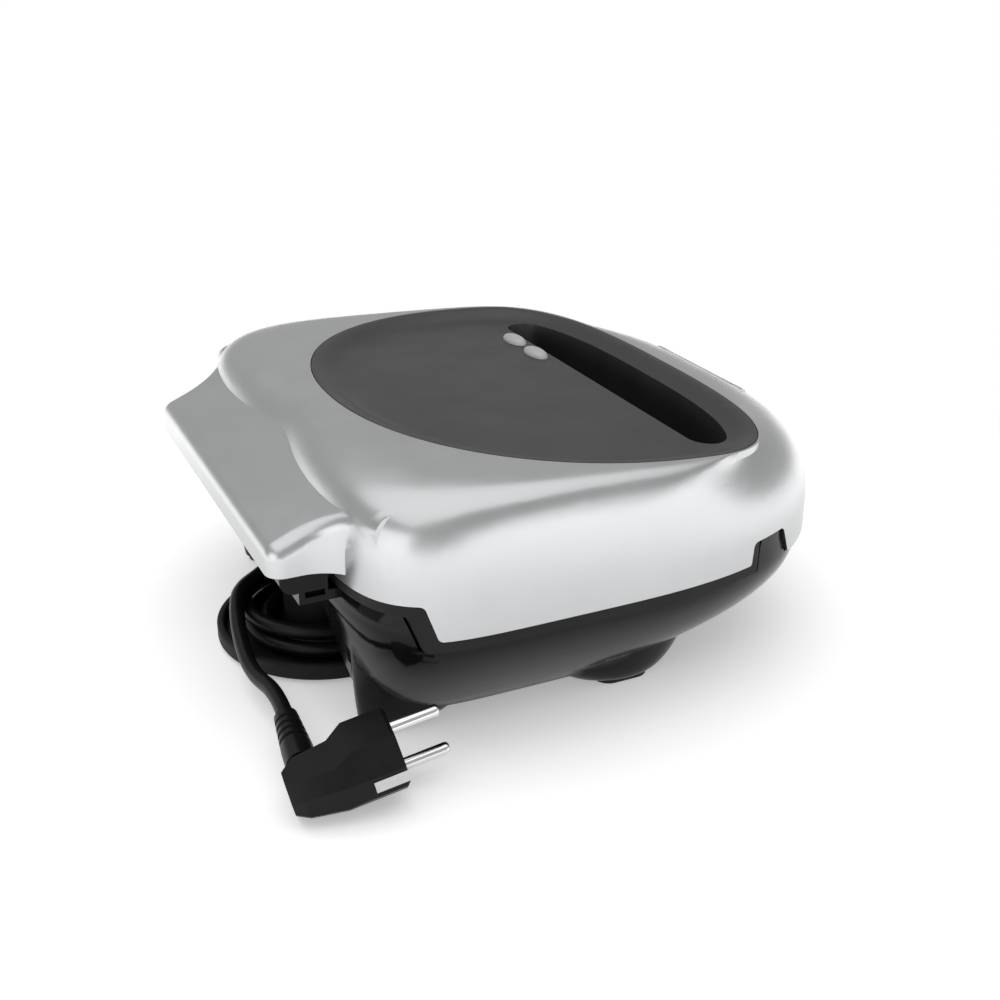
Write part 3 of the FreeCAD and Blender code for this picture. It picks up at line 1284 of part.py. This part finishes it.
def biarc(start, start_way, end, end_way):
    """Two tangent arcs from one station to the next."""
    chord = end - start
    ways = start_way + end_way
    a = 2 * (1 - start_way.dot(end_way))
    b = 2 * chord.dot(ways)
    c = -chord.dot(chord)
    reach = -c / b if abs(a) < 1e-9 else (-b + math.sqrt(b * b - 4 * a * c)) / (2 * a)
    first_pole = start + start_way * reach
    last_pole = end - end_way * reach
    joint = (first_pole + last_pole) * 0.5
    return [arc_through(start, first_pole, joint), arc_through(joint, last_pole, end)]


def arc_through(start, pole, end):
    """Arc from start to end, tangent to both lines to their pole."""
    middle = (start + end) * 0.5
    half_chord = (end - start).Length / 2
    rise = (pole - middle).Length
    if rise < 1e-6:
        return Part.LineSegment(start, end).toShape()
    side = math.hypot(half_chord, rise)
    height = half_chord * (side - half_chord) / rise
    crest = middle + (pole - middle).normalize() * height
    return Part.Arc(start, crest, end).toShape()


def around(point):
    """Direction of winding at a point of the coil."""
    out = point - Vector(0, size("winder_y"), point.z)
    return Vector(-out.y, out.x, 0).normalize()


def coil_ends():
    stations = coil_route()
    straight = 2 * size("cord_radius")
    start_way = around(stations[0])
    end_way = around(stations[-1])
    return stations, start_way, end_way, stations[0] - start_way * straight, stations[-1] + end_way * straight


def pipe(edges, radius, start, way):
    """Round tube along a chain of edges."""
    ring = Part.Wire(Part.Circle(start, way, radius).toShape())
    return Part.Wire(edges).makePipeShell([ring], True, False)


def make_winding():
    stations, start_way, end_way, root, tip = coil_ends()
    ways = route_tangents(stations, start_way, end_way)
    edges = [Part.LineSegment(root, stations[0]).toShape()]
    for index in range(len(stations) - 1):
        edges += biarc(stations[index], ways[index], stations[index + 1], ways[index + 1])
    edges.append(Part.LineSegment(stations[-1], tip).toShape())
    wire = Part.Wire(edges)
    print("winding length", round(wire.Length, 1), "self gap", round(self_gap(wire), 2))
    return pipe(edges, size("cord_radius"), root, start_way)


def self_gap(wire):
    """Least gap between turns of a wound tube, measured on points of its middle line."""
    spacing = 2.0
    count = int(wire.Length / spacing)
    points = wire.discretize(count)
    apart = int(3 * math.pi * size("cord_radius") / spacing)
    least = FAR
    for index, point in enumerate(points):
        for other in points[index + apart:]:
            least = min(least, point.distanceToPoint(other))
    return least - 2 * size("cord_radius")


def plug_place():
    rotation = Rotation(size("plug_yaw"), size("plug_pitch"), size("plug_roll"))
    return Placement(Vector(size("plug_x"), size("plug_y"), size("plug_z")), rotation)


def relief_ends():
    """Both ends of the sleeve, in the plug's own frame: x along the pins, z towards the lead."""
    root = Vector(-size("relief_setback"), 0, size("grip_top") - size("back_thick") / 5)
    return root, root + Vector(0, 0, size("relief_length"))


def tail_points():
    """Corners of the free lead's run, from the winding to the sleeve."""
    _, _, way, _, tip = coil_ends()
    radius = size("cord_radius")
    end = plug_place().multVec(relief_ends()[1])
    end_way = plug_place().Rotation.multVec(Vector(0, 0, 1))
    first = tip + way * (5 * radius)
    last = end + end_way * (5 * radius)
    middle = [first + (last - first) * share + Vector(0, bow, sag) * radius for share, bow, sag in TAIL_BOWS]
    return [tip, first] + middle + [last, end]


def make_tail():
    """Free lead from the winding to the plug's sleeve: straight runs with tangent arcs."""
    points = tail_points()
    edges = []
    start = points[0]
    for before, corner, after in zip(points, points[1:], points[2:]):
        back = before - corner
        ahead = after - corner
        reach = 0.45 * min(back.Length, ahead.Length)
        arc_start = corner + back.normalize() * reach
        arc_end = corner + ahead.normalize() * reach
        edges.append(Part.LineSegment(start, arc_start).toShape())
        edges.append(arc_through(arc_start, corner, arc_end))
        start = arc_end
    edges.append(Part.LineSegment(start, points[-1]).toShape())
    print("tail length", round(sum(edge.Length for edge in edges), 1))
    return pipe(edges, size("cord_radius"), points[0], (points[1] - points[0]).normalize())


def make_gland():
    """Strain relief on the core's side that holds the start of the winding."""
    _, way, _, root, _ = coil_ends()
    length = size("gland_length")
    half = size("gland_half_width")
    top = size("flange_z") + size("flange_thick")
    height = size("coil_lower_z") + size("cord_radius") - top
    block = Part.makeBox(length, 2 * half + size("coil_inner"), height)
    block.translate(Vector(-length, -half - size("coil_inner"), 0))
    turn = math.degrees(math.atan2(way.y, way.x))
    seat = Placement(Vector(root.x, root.y, top), Rotation(Vector(0, 0, 1), turn))
    block.Placement = seat.multiply(block.Placement)
    axis = Vector(0, size("winder_y"), 0)
    core = Part.makeCylinder(size("core_radius"), FAR, axis)
    reach = Part.makeCylinder(size("coil_inner") + half, FAR, axis)
    return block.cut(core).common(reach).removeSplitter()


def plug_loop(x, half_width, facet, low, high):
    """Oblong with cut corners across the pins, at a place along them."""
    flat = half_width - facet
    corners = [(-half_width, low + facet), (-flat, low), (flat, low), (half_width, low + facet),
               (half_width, high - facet), (flat, high), (-flat, high), (-half_width, high - facet)]
    points = [Vector(x, y, z) for y, z in corners]
    return Part.makePolygon(points + points[:1])


def make_plug_body():
    """Moulded plug in its own frame: faceted front block, lower grip behind it, drawn-in back."""
    end = size("face_half_length")
    face = size("face_half_width")
    facet = size("face_facet")
    block_x = -size("face_block")
    grip_x = block_x - size("grip_start")
    back_x = -size("plug_depth")
    back = size("back_thick")
    top = size("grip_top")
    grip = size("grip_half_width")
    small = facet * 2 / 3
    loops = [
        plug_loop(0.0, face - facet / 8, facet, -end + facet / 8, end - facet / 8),
        plug_loop(-facet / 6, face, facet, -end, end),
        plug_loop(block_x, face, facet, -end, end),
        plug_loop(grip_x, grip, small, -end, top),
        plug_loop(back_x + back, grip - facet / 8, small, -end + back / 2, top - back / 5),
        plug_loop(back_x, size("back_half_width"), small, -end + back, top - back),
    ]
    body = Part.makeLoft(loops, True, True)
    for pin in pin_bars(size("pin_seat")):
        body = body.cut(pin)
    for contact in earth_strips():
        body = body.cut(contact)
    root, _ = relief_ends()
    body = body.cut(Part.makeCylinder(size("relief_root_radius"), FAR, root))
    body = body.removeSplitter()
    body.Placement = plug_place()
    return body


def pin_bars(seat):
    """Both pins, from their seats in the plug to their round tips."""
    bars = []
    for side in (-1, 1):
        y = side * size("pin_pitch") / 2
        radius = size("pin_radius")
        bar = Part.makeCylinder(radius, seat + size("pin_length"), Vector(-seat, y, 0), Vector(1, 0, 0))
        tip = [edge for edge in bar.Edges if edge.Closed and edge.CenterOfMass.x > 0]
        bars.append(bar.makeFillet(radius * 0.7, tip))
    return bars


def earth_strips():
    """Earth contacts let into the ends of the front block."""
    strips = []
    half = size("earth_width") / 2
    for side in (-1, 1):
        z = side * size("face_half_length")
        low, high = sorted((z, z - side * size("earth_thick")))
        strips.append(box(-size("earth_length"), 0, -half, half, low, high))
    return strips


def plug_piece(label, solids):
    group = Part.makeCompound(solids)
    group.Placement = plug_place()
    return shaped(label, group)


def make_relief():
    """Ribbed sleeve where the lead enters the plug."""
    root, _ = relief_ends()
    length = size("relief_length")
    wide = size("relief_root_radius")
    smooth = size("relief_smooth")
    taper = (wide - size("relief_tip_radius")) / (length - smooth)
    profile = [Vector(0, 0, 0), Vector(wide, 0, 0), Vector(wide, 0, smooth)]
    pitch = (length - smooth) / (RELIEF_RIBS + 1)
    for rib in range(RELIEF_RIBS):
        for share, sunk in ((0.7, 0), (0.8, 1), (1.1, 1), (1.2, 0)):
            along = pitch * (rib + share)
            radius = wide - taper * along - sunk * size("relief_groove")
            profile.append(Vector(radius, 0, smooth + along))
    profile += [Vector(size("relief_tip_radius"), 0, length), Vector(0, 0, length)]
    outline = Part.Face(Part.makePolygon(profile + profile[:1]))
    sleeve = outline.revolve(Vector(0, 0, 0), Vector(0, 0, 1), 360)
    sleeve.translate(root)
    sleeve.Placement = plug_place().multiply(sleeve.Placement)
    return sleeve


# Assembly

shaped("upper_shell", make_upper_shell())
shaped("top_inlay", make_top_inlay())
for lamp, middle in zip(("power_lamp_lens", "ready_lamp_lens"), lamp_middles()):
    shaped(lamp, make_lens(middle))
shaped("lamp_holder", make_lamp_holder())
shaped("upper_frame", make_upper_frame())
make_plate("upper_plate", True)
make_element("upper_element", True)
make_shield("upper_heat_shield", True)
make_fuse()
make_screws("upper_frame_screws", upper_screws())
make_latch_pin()
shaped("latch", make_latch())
shaped("latch_hook", make_latch_hook())

shaped("lower_shell", make_lower_shell())
shaped("lower_frame", make_lower_frame())
make_plate("lower_plate", False)
make_element("lower_element", False)
make_shield("lower_heat_shield", False)
make_thermostat()
make_terminal_block()
make_screws("lower_frame_screws", lower_screws())
make_catch()
for side, name in ((-1, "left"), (1, "right")):
    make_hinge_pin(f"hinge_pin_{name}", side)
    for end in ("front", "rear"):
        make_foot(f"foot_{end}_{name}", side, end)
shaped("winder_spool", make_winder())
make_screws("winder_screw", winder_screws())
shaped("cord_gland", make_gland())
shaped("cord_winding", make_winding())
shaped("cord_tail", make_tail())
shaped("plug_body", make_plug_body())
plug_piece("plug_pins", pin_bars(size("pin_seat")))
plug_piece("plug_earth_contacts", earth_strips())
shaped("plug_relief", make_relief())

doc.recompute()
for item in doc.Objects:
    if "Invalid" in item.State or "Error" in item.State:
        raise RuntimeError(f"{item.Label} failed: {item.State}")
for item in nodes:
    if item.Shape.isNull() or not item.Shape.isValid():
        raise RuntimeError(f"{item.Label} has no valid shape")
os.makedirs("parts", exist_ok=True)
for item in nodes:
    print(item.Label, len(item.Shape.Solids), round(item.Shape.Volume / 1000, 2))
    item.Shape.exportStep(f"parts/{item.Label}.step")
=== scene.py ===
import json
import math

import bpy
from mathutils import Euler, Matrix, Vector


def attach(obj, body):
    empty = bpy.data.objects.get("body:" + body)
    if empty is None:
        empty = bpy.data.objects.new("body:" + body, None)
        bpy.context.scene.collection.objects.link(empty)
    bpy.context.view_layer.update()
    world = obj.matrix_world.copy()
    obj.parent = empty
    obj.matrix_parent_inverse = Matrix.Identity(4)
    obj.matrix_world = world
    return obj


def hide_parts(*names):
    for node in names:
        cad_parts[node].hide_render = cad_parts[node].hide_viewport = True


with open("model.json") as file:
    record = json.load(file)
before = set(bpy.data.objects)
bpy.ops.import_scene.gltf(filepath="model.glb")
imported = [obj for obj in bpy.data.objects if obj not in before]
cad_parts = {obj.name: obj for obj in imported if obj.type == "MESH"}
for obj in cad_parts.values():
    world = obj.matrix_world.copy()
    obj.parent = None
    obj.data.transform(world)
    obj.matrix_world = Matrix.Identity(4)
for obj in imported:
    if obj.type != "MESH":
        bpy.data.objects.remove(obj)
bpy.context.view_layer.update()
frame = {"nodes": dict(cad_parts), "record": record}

BODY_OF = {node: body for body, nodes in frame["record"]["behaviour"]["bodies"].items() for node in nodes}
SLOT_OF = {entry["node"]: entry["material_slot"] for entry in frame["record"]["subparts"]}


# Finishes

GRAIN_DEPTH = 0.0002
# Heights and gloss for the painted shade in the panel's well
WELL_FLOOR_Z, WELL_EDGE_Z = 0.090, 0.106
WELL_SHADED_GLOSS = 0.02


def finish_nodes(name):
    material = bpy.data.materials.new(name)
    material.use_nodes = True
    nodes = material.node_tree.nodes
    links = material.node_tree.links
    shader = nodes["Principled BSDF"]
    place = nodes.new("ShaderNodeTexCoord").outputs["Object"]
    return material, nodes, links, shader, place


def noise(nodes, links, place, scale, detail=3.0):
    texture = nodes.new("ShaderNodeTexNoise")
    texture.inputs["Scale"].default_value = scale
    texture.inputs["Detail"].default_value = detail
    links.new(place, texture.inputs["Vector"])
    return texture.outputs["Fac"]


def between(nodes, links, factor, low, high):
    """Spread a noise over a range of values."""
    spread = nodes.new("ShaderNodeMapRange")
    spread.inputs["From Min"].default_value = 0.3
    spread.inputs["From Max"].default_value = 0.7
    spread.inputs["To Min"].default_value = low
    spread.inputs["To Max"].default_value = high
    links.new(factor, spread.inputs["Value"])
    return spread.outputs["Result"]


def moulded(name, dark, light, rough, cloud, grain, relief, **sockets):
    """A finish with cloudy colour, uneven gloss and a fine grain in its surface."""
    material, nodes, links, shader, place = finish_nodes(name)
    clouds = noise(nodes, links, place, cloud)
    mix = nodes.new("ShaderNodeMix")
    mix.data_type = "RGBA"
    mix.inputs["A"].default_value = (*dark, 1.0)
    mix.inputs["B"].default_value = (*light, 1.0)
    links.new(clouds, mix.inputs["Factor"])
    links.new(mix.outputs["Result"], shader.inputs["Base Color"])
    links.new(between(nodes, links, clouds, *rough), shader.inputs["Roughness"])
    bump = nodes.new("ShaderNodeBump")
    bump.inputs["Strength"].default_value = relief
    bump.inputs["Distance"].default_value = GRAIN_DEPTH
    links.new(noise(nodes, links, place, grain, 2.0), bump.inputs["Height"])
    links.new(bump.outputs["Normal"], shader.inputs["Normal"])
    for socket, value in sockets.items():
        shader.inputs[socket.replace("_", " ")].default_value = value
    return material


FINISHES = {
    "silver_shell": moulded(
        "satin_silver", (0.47, 0.475, 0.48), (0.51, 0.515, 0.52),
        rough=(0.29, 0.34), cloud=60, grain=2600, relief=0.03, Metallic=0.85),
    "panel_black": moulded(
        "panel_satin", (0.010, 0.010, 0.011), (0.016, 0.016, 0.017),
        rough=(0.34, 0.42), cloud=40, grain=3200, relief=0.12),
    "frame_black": moulded(
        "frame_matte", (0.006, 0.006, 0.006), (0.010, 0.010, 0.010),
        rough=(0.55, 0.68), cloud=80, grain=1800, relief=0.25, Specular_IOR_Level=0.25),
    "base_black": moulded(
        "base_gloss", (0.004, 0.004, 0.005), (0.006, 0.006, 0.007),
        rough=(0.10, 0.15), cloud=30, grain=900, relief=0.02, Specular_IOR_Level=0.16),
    "nonstick": moulded(
        "nonstick_coat", (0.016, 0.016, 0.017), (0.030, 0.030, 0.031),
        rough=(0.40, 0.55), cloud=150, grain=1500, relief=0.35, Metallic=0.2),
    "heater": moulded(
        "heater_tint", (0.16, 0.14, 0.12), (0.26, 0.25, 0.25),
        rough=(0.35, 0.5), cloud=90, grain=900, relief=0.1, Metallic=1.0),
    "sheet_aluminium": moulded(
        "shield_sheet", (0.70, 0.70, 0.70), (0.78, 0.78, 0.78),
        rough=(0.25, 0.38), cloud=60, grain=700, relief=0.1, Metallic=1.0),
    "steel": moulded(
        "plated_steel", (0.50, 0.50, 0.50), (0.60, 0.60, 0.60),
        rough=(0.22, 0.34), cloud=200, grain=1200, relief=0.08, Metallic=1.0),
    "terminal_white": moulded(
        "terminal_natural", (0.75, 0.74, 0.70), (0.82, 0.81, 0.77),
        rough=(0.4, 0.5), cloud=90, grain=900, relief=0.1),
    "foot_rubber": moulded(
        "foot_pad", (0.010, 0.010, 0.010), (0.018, 0.018, 0.018),
        rough=(0.7, 0.85), cloud=200, grain=2400, relief=0.4),
    "cord_black": moulded(
        "cord_sheath", (0.005, 0.005, 0.005), (0.008, 0.008, 0.008),
        rough=(0.30, 0.40), cloud=120, grain=1600, relief=0.15, Specular_IOR_Level=0.18),
    "plug_black": moulded(
        "plug_mould", (0.005, 0.005, 0.005), (0.009, 0.009, 0.009),
        rough=(0.36, 0.46), cloud=120, grain=2600, relief=0.3, Specular_IOR_Level=0.15),
    "pin_chrome": moulded(
        "pin_plating", (0.66, 0.66, 0.66), (0.74, 0.74, 0.74),
        rough=(0.10, 0.18), cloud=300, grain=2000, relief=0.05, Metallic=1.0),
    "lens_clear": moulded(
        "lens_moulding", (0.62, 0.63, 0.64), (0.70, 0.70, 0.70),
        rough=(0.06, 0.12), cloud=150, grain=600, relief=0.05, Transmission_Weight=0.45, IOR=1.49),
}


def paint_shade_below(material, low, high, level):
    """Painted shade: dull the gloss of what lies deep, down to a level at a low height, as set from a
    high one up, so a recess looks shaded.
    """
    nodes = material.node_tree.nodes
    links = material.node_tree.links
    shader = nodes["Principled BSDF"]
    height = nodes.new("ShaderNodeSeparateXYZ")
    links.new(nodes["Texture Coordinate"].outputs["Object"], height.inputs[0])
    ramp = nodes.new("ShaderNodeMapRange")
    ramp.interpolation_type = "SMOOTHSTEP"
    ramp.inputs["From Min"].default_value = low
    ramp.inputs["From Max"].default_value = high
    ramp.inputs["To Min"].default_value = level
    ramp.inputs["To Max"].default_value = shader.inputs["Specular IOR Level"].default_value
    links.new(height.outputs["Z"], ramp.inputs["Value"])
    links.new(ramp.outputs["Result"], shader.inputs["Specular IOR Level"])


# Painted shade: the panel's gloss fades out down into the well, so the well looks dark as if in shadow
paint_shade_below(FINISHES["panel_black"], WELL_FLOOR_Z, WELL_EDGE_Z, WELL_SHADED_GLOSS)


# Making pieces

WELD_GAP = 0.000005
SMOOTH_ANGLE = math.radians(30)
PLUG_EDGE = 0.0007
BEVEL_SEGMENTS = 3
BEVEL_FROM_ANGLE = math.radians(25)
BEVEL_SMOOTH_ANGLE = math.radians(40)


def only(piece):
    """Select one object alone, ready for an operator."""
    if bpy.context.mode != "OBJECT":
        bpy.ops.object.mode_set(mode="OBJECT")
    bpy.ops.object.select_all(action="DESELECT")
    piece.select_set(True)
    bpy.context.view_layer.objects.active = piece
    return piece


def on_body(piece, body, slot):
    """Give a piece its finish and let it move with its body."""
    piece.data.materials.clear()
    piece.data.materials.append(FINISHES[slot])
    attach(piece, body)
    return piece


def smooth_copy(node, name):
    """A CAD node's shape as one welded, smooth-shaded piece."""
    mesh = frame["nodes"][node].data.copy()
    piece = bpy.data.objects.new(name, mesh)
    bpy.context.scene.collection.objects.link(piece)
    only(piece)
    if mesh.has_custom_normals:
        bpy.ops.mesh.customdata_custom_splitnormals_clear()
    bpy.ops.object.mode_set(mode="EDIT")
    bpy.ops.mesh.select_all(action="SELECT")
    bpy.ops.mesh.remove_doubles(threshold=WELD_GAP)
    bpy.ops.object.mode_set(mode="OBJECT")
    bpy.ops.object.shade_smooth_by_angle(angle=SMOOTH_ANGLE)
    return piece


def dressed(node):
    """A smooth copy that stands for its node."""
    piece = smooth_copy(node, node + "_piece")
    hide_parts(node)
    return on_body(piece, BODY_OF[node], SLOT_OF[node])


def softened(piece, width):
    """Round a piece's hard edges a little, so they catch the light."""
    only(piece)
    bpy.ops.object.modifier_add(type="BEVEL")
    bevel = piece.modifiers[-1]
    bevel.width = width
    bevel.segments = BEVEL_SEGMENTS
    bevel.limit_method = "ANGLE"
    bevel.angle_limit = BEVEL_FROM_ANGLE
    bpy.ops.object.modifier_apply(modifier=bevel.name)
    bpy.ops.object.shade_smooth_by_angle(angle=BEVEL_SMOOTH_ANGLE)
    return piece


# Mains lead: the route of the part's own lead, in millimetres

WINDER_Y = 83.3
CORD_RADIUS = 3.4
STRAIGHT_END, STRAIGHT_RUN = 2 * CORD_RADIUS, 5 * CORD_RADIUS
COIL_INNER, COIL_OUTER, COIL_LEAVE = 27.0, 39.0, 31.5
COIL_Z, COIL_LAYER = 9.2, 7.5
COIL_LEAVE_ANGLE = 41.0
POINTS_PER_QUARTER = 4
COIL_OUT = [(step / 6, 0.0) for step in range(7)]
COIL_BACK = [(1.0, 0.7), (1.0, 1.0), (0.5, 1.0), (0.0, 1.0), (0.0, 1.5), (0.0, 2.0)]
COIL_PLAN = COIL_OUT + COIL_BACK
TAIL_BOWS = [(0.20, 1.2, -0.6), (0.44, 1.7, -1.5), (0.70, 1.6, -1.7)]
PLUG_FACE = Vector((-131.6, 99.3, 19.9))
PLUG_TURN = Euler((math.radians(-85.7), math.radians(-13.2), math.radians(-96.8)), "XYZ").to_matrix()
RELIEF_END = Vector((-35.0, 0.0, 40.5))


def coil_point(quarter):
    """Place of the winding's middle line after so many quarter turns."""
    index = min(int(quarter), len(COIL_PLAN) - 2)
    share = quarter - index
    rings = []
    for out, layer in COIL_PLAN[index:index + 2]:
        inner = COIL_INNER if layer == 0 else COIL_LEAVE
        rings.append((inner + (COIL_OUTER - inner) * out, COIL_Z + COIL_LAYER * layer))
    (radius, z), (next_radius, next_z) = rings
    turn = math.radians(COIL_LEAVE_ANGLE - 90.0 * (len(COIL_PLAN) - 1 - quarter))
    radius += (next_radius - radius) * share
    return Vector((radius * math.cos(turn), WINDER_Y + radius * math.sin(turn), z + (next_z - z) * share))


def lead_route():
    """Control points of the whole lead, from the winder's core to the plug's sleeve."""
    quarters = (len(COIL_PLAN) - 1) * POINTS_PER_QUARTER
    turns = [coil_point(step / POINTS_PER_QUARTER) for step in range(quarters + 1)]

    def around(point):
        out = point - Vector((0, WINDER_Y, point.z))
        return Vector((-out.y, out.x, 0)).normalized()

    root = turns[0] - around(turns[0]) * STRAIGHT_END
    tip = turns[-1] + around(turns[-1]) * STRAIGHT_END
    first = tip + around(turns[-1]) * STRAIGHT_RUN
    end = PLUG_FACE + PLUG_TURN @ RELIEF_END
    last = end + PLUG_TURN @ Vector((0, 0, STRAIGHT_RUN))
    bows = []
    for share, bow, sag in TAIL_BOWS:
        bows.append(first.lerp(last, share) + Vector((0, bow, sag)) * CORD_RADIUS)
    return [root] + turns + [tip, first] + bows + [last, end]


def make_lead():
    curve = bpy.data.curves.new("mains_lead", "CURVE")
    curve.dimensions = "3D"
    curve.bevel_depth = CORD_RADIUS / 1000
    curve.bevel_resolution = 5
    curve.resolution_u = 8
    spline = curve.splines.new("NURBS")
    route = lead_route()
    spline.points.add(len(route) - 1)
    for point, place in zip(spline.points, route):
        point.co = (*(place / 1000), 1.0)
    spline.order_u = 3
    spline.use_endpoint_u = True
    lead = bpy.data.objects.new("mains_lead", curve)
    bpy.context.scene.collection.objects.link(lead)
    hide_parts("cord_winding", "cord_tail")
    return on_body(lead, "base", "cord_black"), route


# Camera, light and floor

CAMERA_PLACE = (-0.5337, 0.2451, 0.3089)
CAMERA_AZIMUTH, CAMERA_PITCH = math.radians(244.9016), math.radians(23.8611)
CAMERA_LENS, SENSOR_WIDTH = 48.816, 36.0
FLOOR_SIZE, FLOOR_GREY = 8.0, 0.86
NEAR_GLOW = 0.34
FADE_START, FADE_END = 0.20, 0.42
MIRRORED_WHITE = 1.9
WORLD_LIGHT = 0.5
SOFTBOXES = [
    ("top_box", (0.0, 0.1, 1.1), (0, 0, 0.08), 1.9, 1.9, 11),
    ("rear_box", (-0.5, 1.1, 0.3), (0, 0, 0.07), 1.0, 0.5, 2.5),
    ("side_box", (-1.05, -0.6, 0.16), (0, 0, 0.07), 1.2, 0.3, 1.3),
]


def make_camera():
    camera = bpy.data.objects.new("camera", bpy.data.cameras.new("camera"))
    bpy.context.scene.collection.objects.link(camera)
    camera.data.lens = CAMERA_LENS
    camera.data.sensor_width = SENSOR_WIDTH
    camera.location = CAMERA_PLACE
    level = math.cos(CAMERA_PITCH)
    ahead = -math.sin(CAMERA_AZIMUTH) * level, math.cos(CAMERA_AZIMUTH) * level
    forward = Vector((*ahead, -math.sin(CAMERA_PITCH)))
    camera.rotation_euler = forward.to_track_quat("-Z", "Y").to_euler()
    bpy.context.scene.camera = camera


def make_floor():
    """White floor that takes the shadow near the part and is plain white further off."""
    bpy.ops.mesh.primitive_plane_add(size=FLOOR_SIZE, location=(0, 0, 0))
    floor = bpy.context.object
    floor.name = "floor"
    material = bpy.data.materials.new("floor_white")
    material.use_nodes = True
    nodes = material.node_tree.nodes
    links = material.node_tree.links
    nodes.clear()
    output = nodes.new("ShaderNodeOutputMaterial")
    diffuse = nodes.new("ShaderNodeBsdfDiffuse")
    diffuse.inputs["Color"].default_value = (FLOOR_GREY, FLOOR_GREY, FLOOR_GREY, 1)
    path = nodes.new("ShaderNodeLightPath")

    def math_node(operation, first, second):
        step = nodes.new("ShaderNodeMath")
        step.operation = operation
        step.use_clamp = True
        for socket, source in zip(step.inputs, (first, second)):
            if isinstance(source, float):
                socket.default_value = source
            else:
                links.new(source, socket)
        return step.outputs[0]

    seen = math_node("MAXIMUM", path.outputs["Is Camera Ray"], path.outputs["Is Glossy Ray"])
    seen = math_node("MAXIMUM", seen, path.outputs["Is Transmission Ray"])
    glow = nodes.new("ShaderNodeEmission")
    links.new(math_node("MULTIPLY", seen, NEAR_GLOW), glow.inputs["Strength"])
    near = nodes.new("ShaderNodeAddShader")
    links.new(diffuse.outputs[0], near.inputs[0])
    links.new(glow.outputs[0], near.inputs[1])
    distance = nodes.new("ShaderNodeVectorMath")
    distance.operation = "LENGTH"
    links.new(nodes.new("ShaderNodeNewGeometry").outputs["Position"], distance.inputs[0])
    fade = nodes.new("ShaderNodeMapRange")
    fade.interpolation_type = "SMOOTHSTEP"
    fade.inputs["From Min"].default_value = FADE_START
    fade.inputs["From Max"].default_value = FADE_END
    links.new(distance.outputs["Value"], fade.inputs["Value"])
    white = nodes.new("ShaderNodeEmission")
    mirrored = nodes.new("ShaderNodeMapRange")
    mirrored.inputs["To Min"].default_value = 1.0
    mirrored.inputs["To Max"].default_value = MIRRORED_WHITE
    links.new(path.outputs["Is Glossy Ray"], mirrored.inputs["Value"])
    links.new(mirrored.outputs["Result"], white.inputs["Strength"])
    mix = nodes.new("ShaderNodeMixShader")
    links.new(math_node("MULTIPLY", seen, fade.outputs["Result"]), mix.inputs[0])
    links.new(near.outputs[0], mix.inputs[1])
    links.new(white.outputs[0], mix.inputs[2])
    links.new(mix.outputs[0], output.inputs["Surface"])
    floor.data.materials.append(material)


def make_world():
    world = bpy.data.worlds.new("studio")
    bpy.context.scene.world = world
    world.use_nodes = True
    nodes = world.node_tree.nodes
    links = world.node_tree.links
    background = nodes["Background"]
    background.inputs["Color"].default_value = (1, 1, 1, 1)
    path = nodes.new("ShaderNodeLightPath")
    level = nodes.new("ShaderNodeMapRange")
    level.inputs["To Min"].default_value = WORLD_LIGHT
    level.inputs["To Max"].default_value = 1.0
    links.new(path.outputs["Is Camera Ray"], level.inputs["Value"])
    links.new(level.outputs["Result"], background.inputs["Strength"])


def softbox(name, place, target, width, height, power):
    light = bpy.data.lights.new(name, "AREA")
    light.shape = "RECTANGLE"
    light.size = width
    light.size_y = height
    light.energy = power
    lamp = bpy.data.objects.new(name, light)
    bpy.context.scene.collection.objects.link(lamp)
    lamp.location = place
    lamp.rotation_euler = (Vector(target) - Vector(place)).to_track_quat("-Z", "Y").to_euler()


# The sandwich maker

make_camera()
lead, route = make_lead()
PLUG_NODES = ("plug_body", "plug_pins", "plug_earth_contacts", "plug_relief")
plug_pieces = [dressed(node) for node in PLUG_NODES]
softened(plug_pieces[0], PLUG_EDGE)
for node in BODY_OF:
    if node not in PLUG_NODES + ("cord_winding", "cord_tail"):
        dressed(node)

make_floor()
make_world()
for box in SOFTBOXES:
    softbox(*box)
bpy.context.scene.view_settings.view_transform = "Standard"
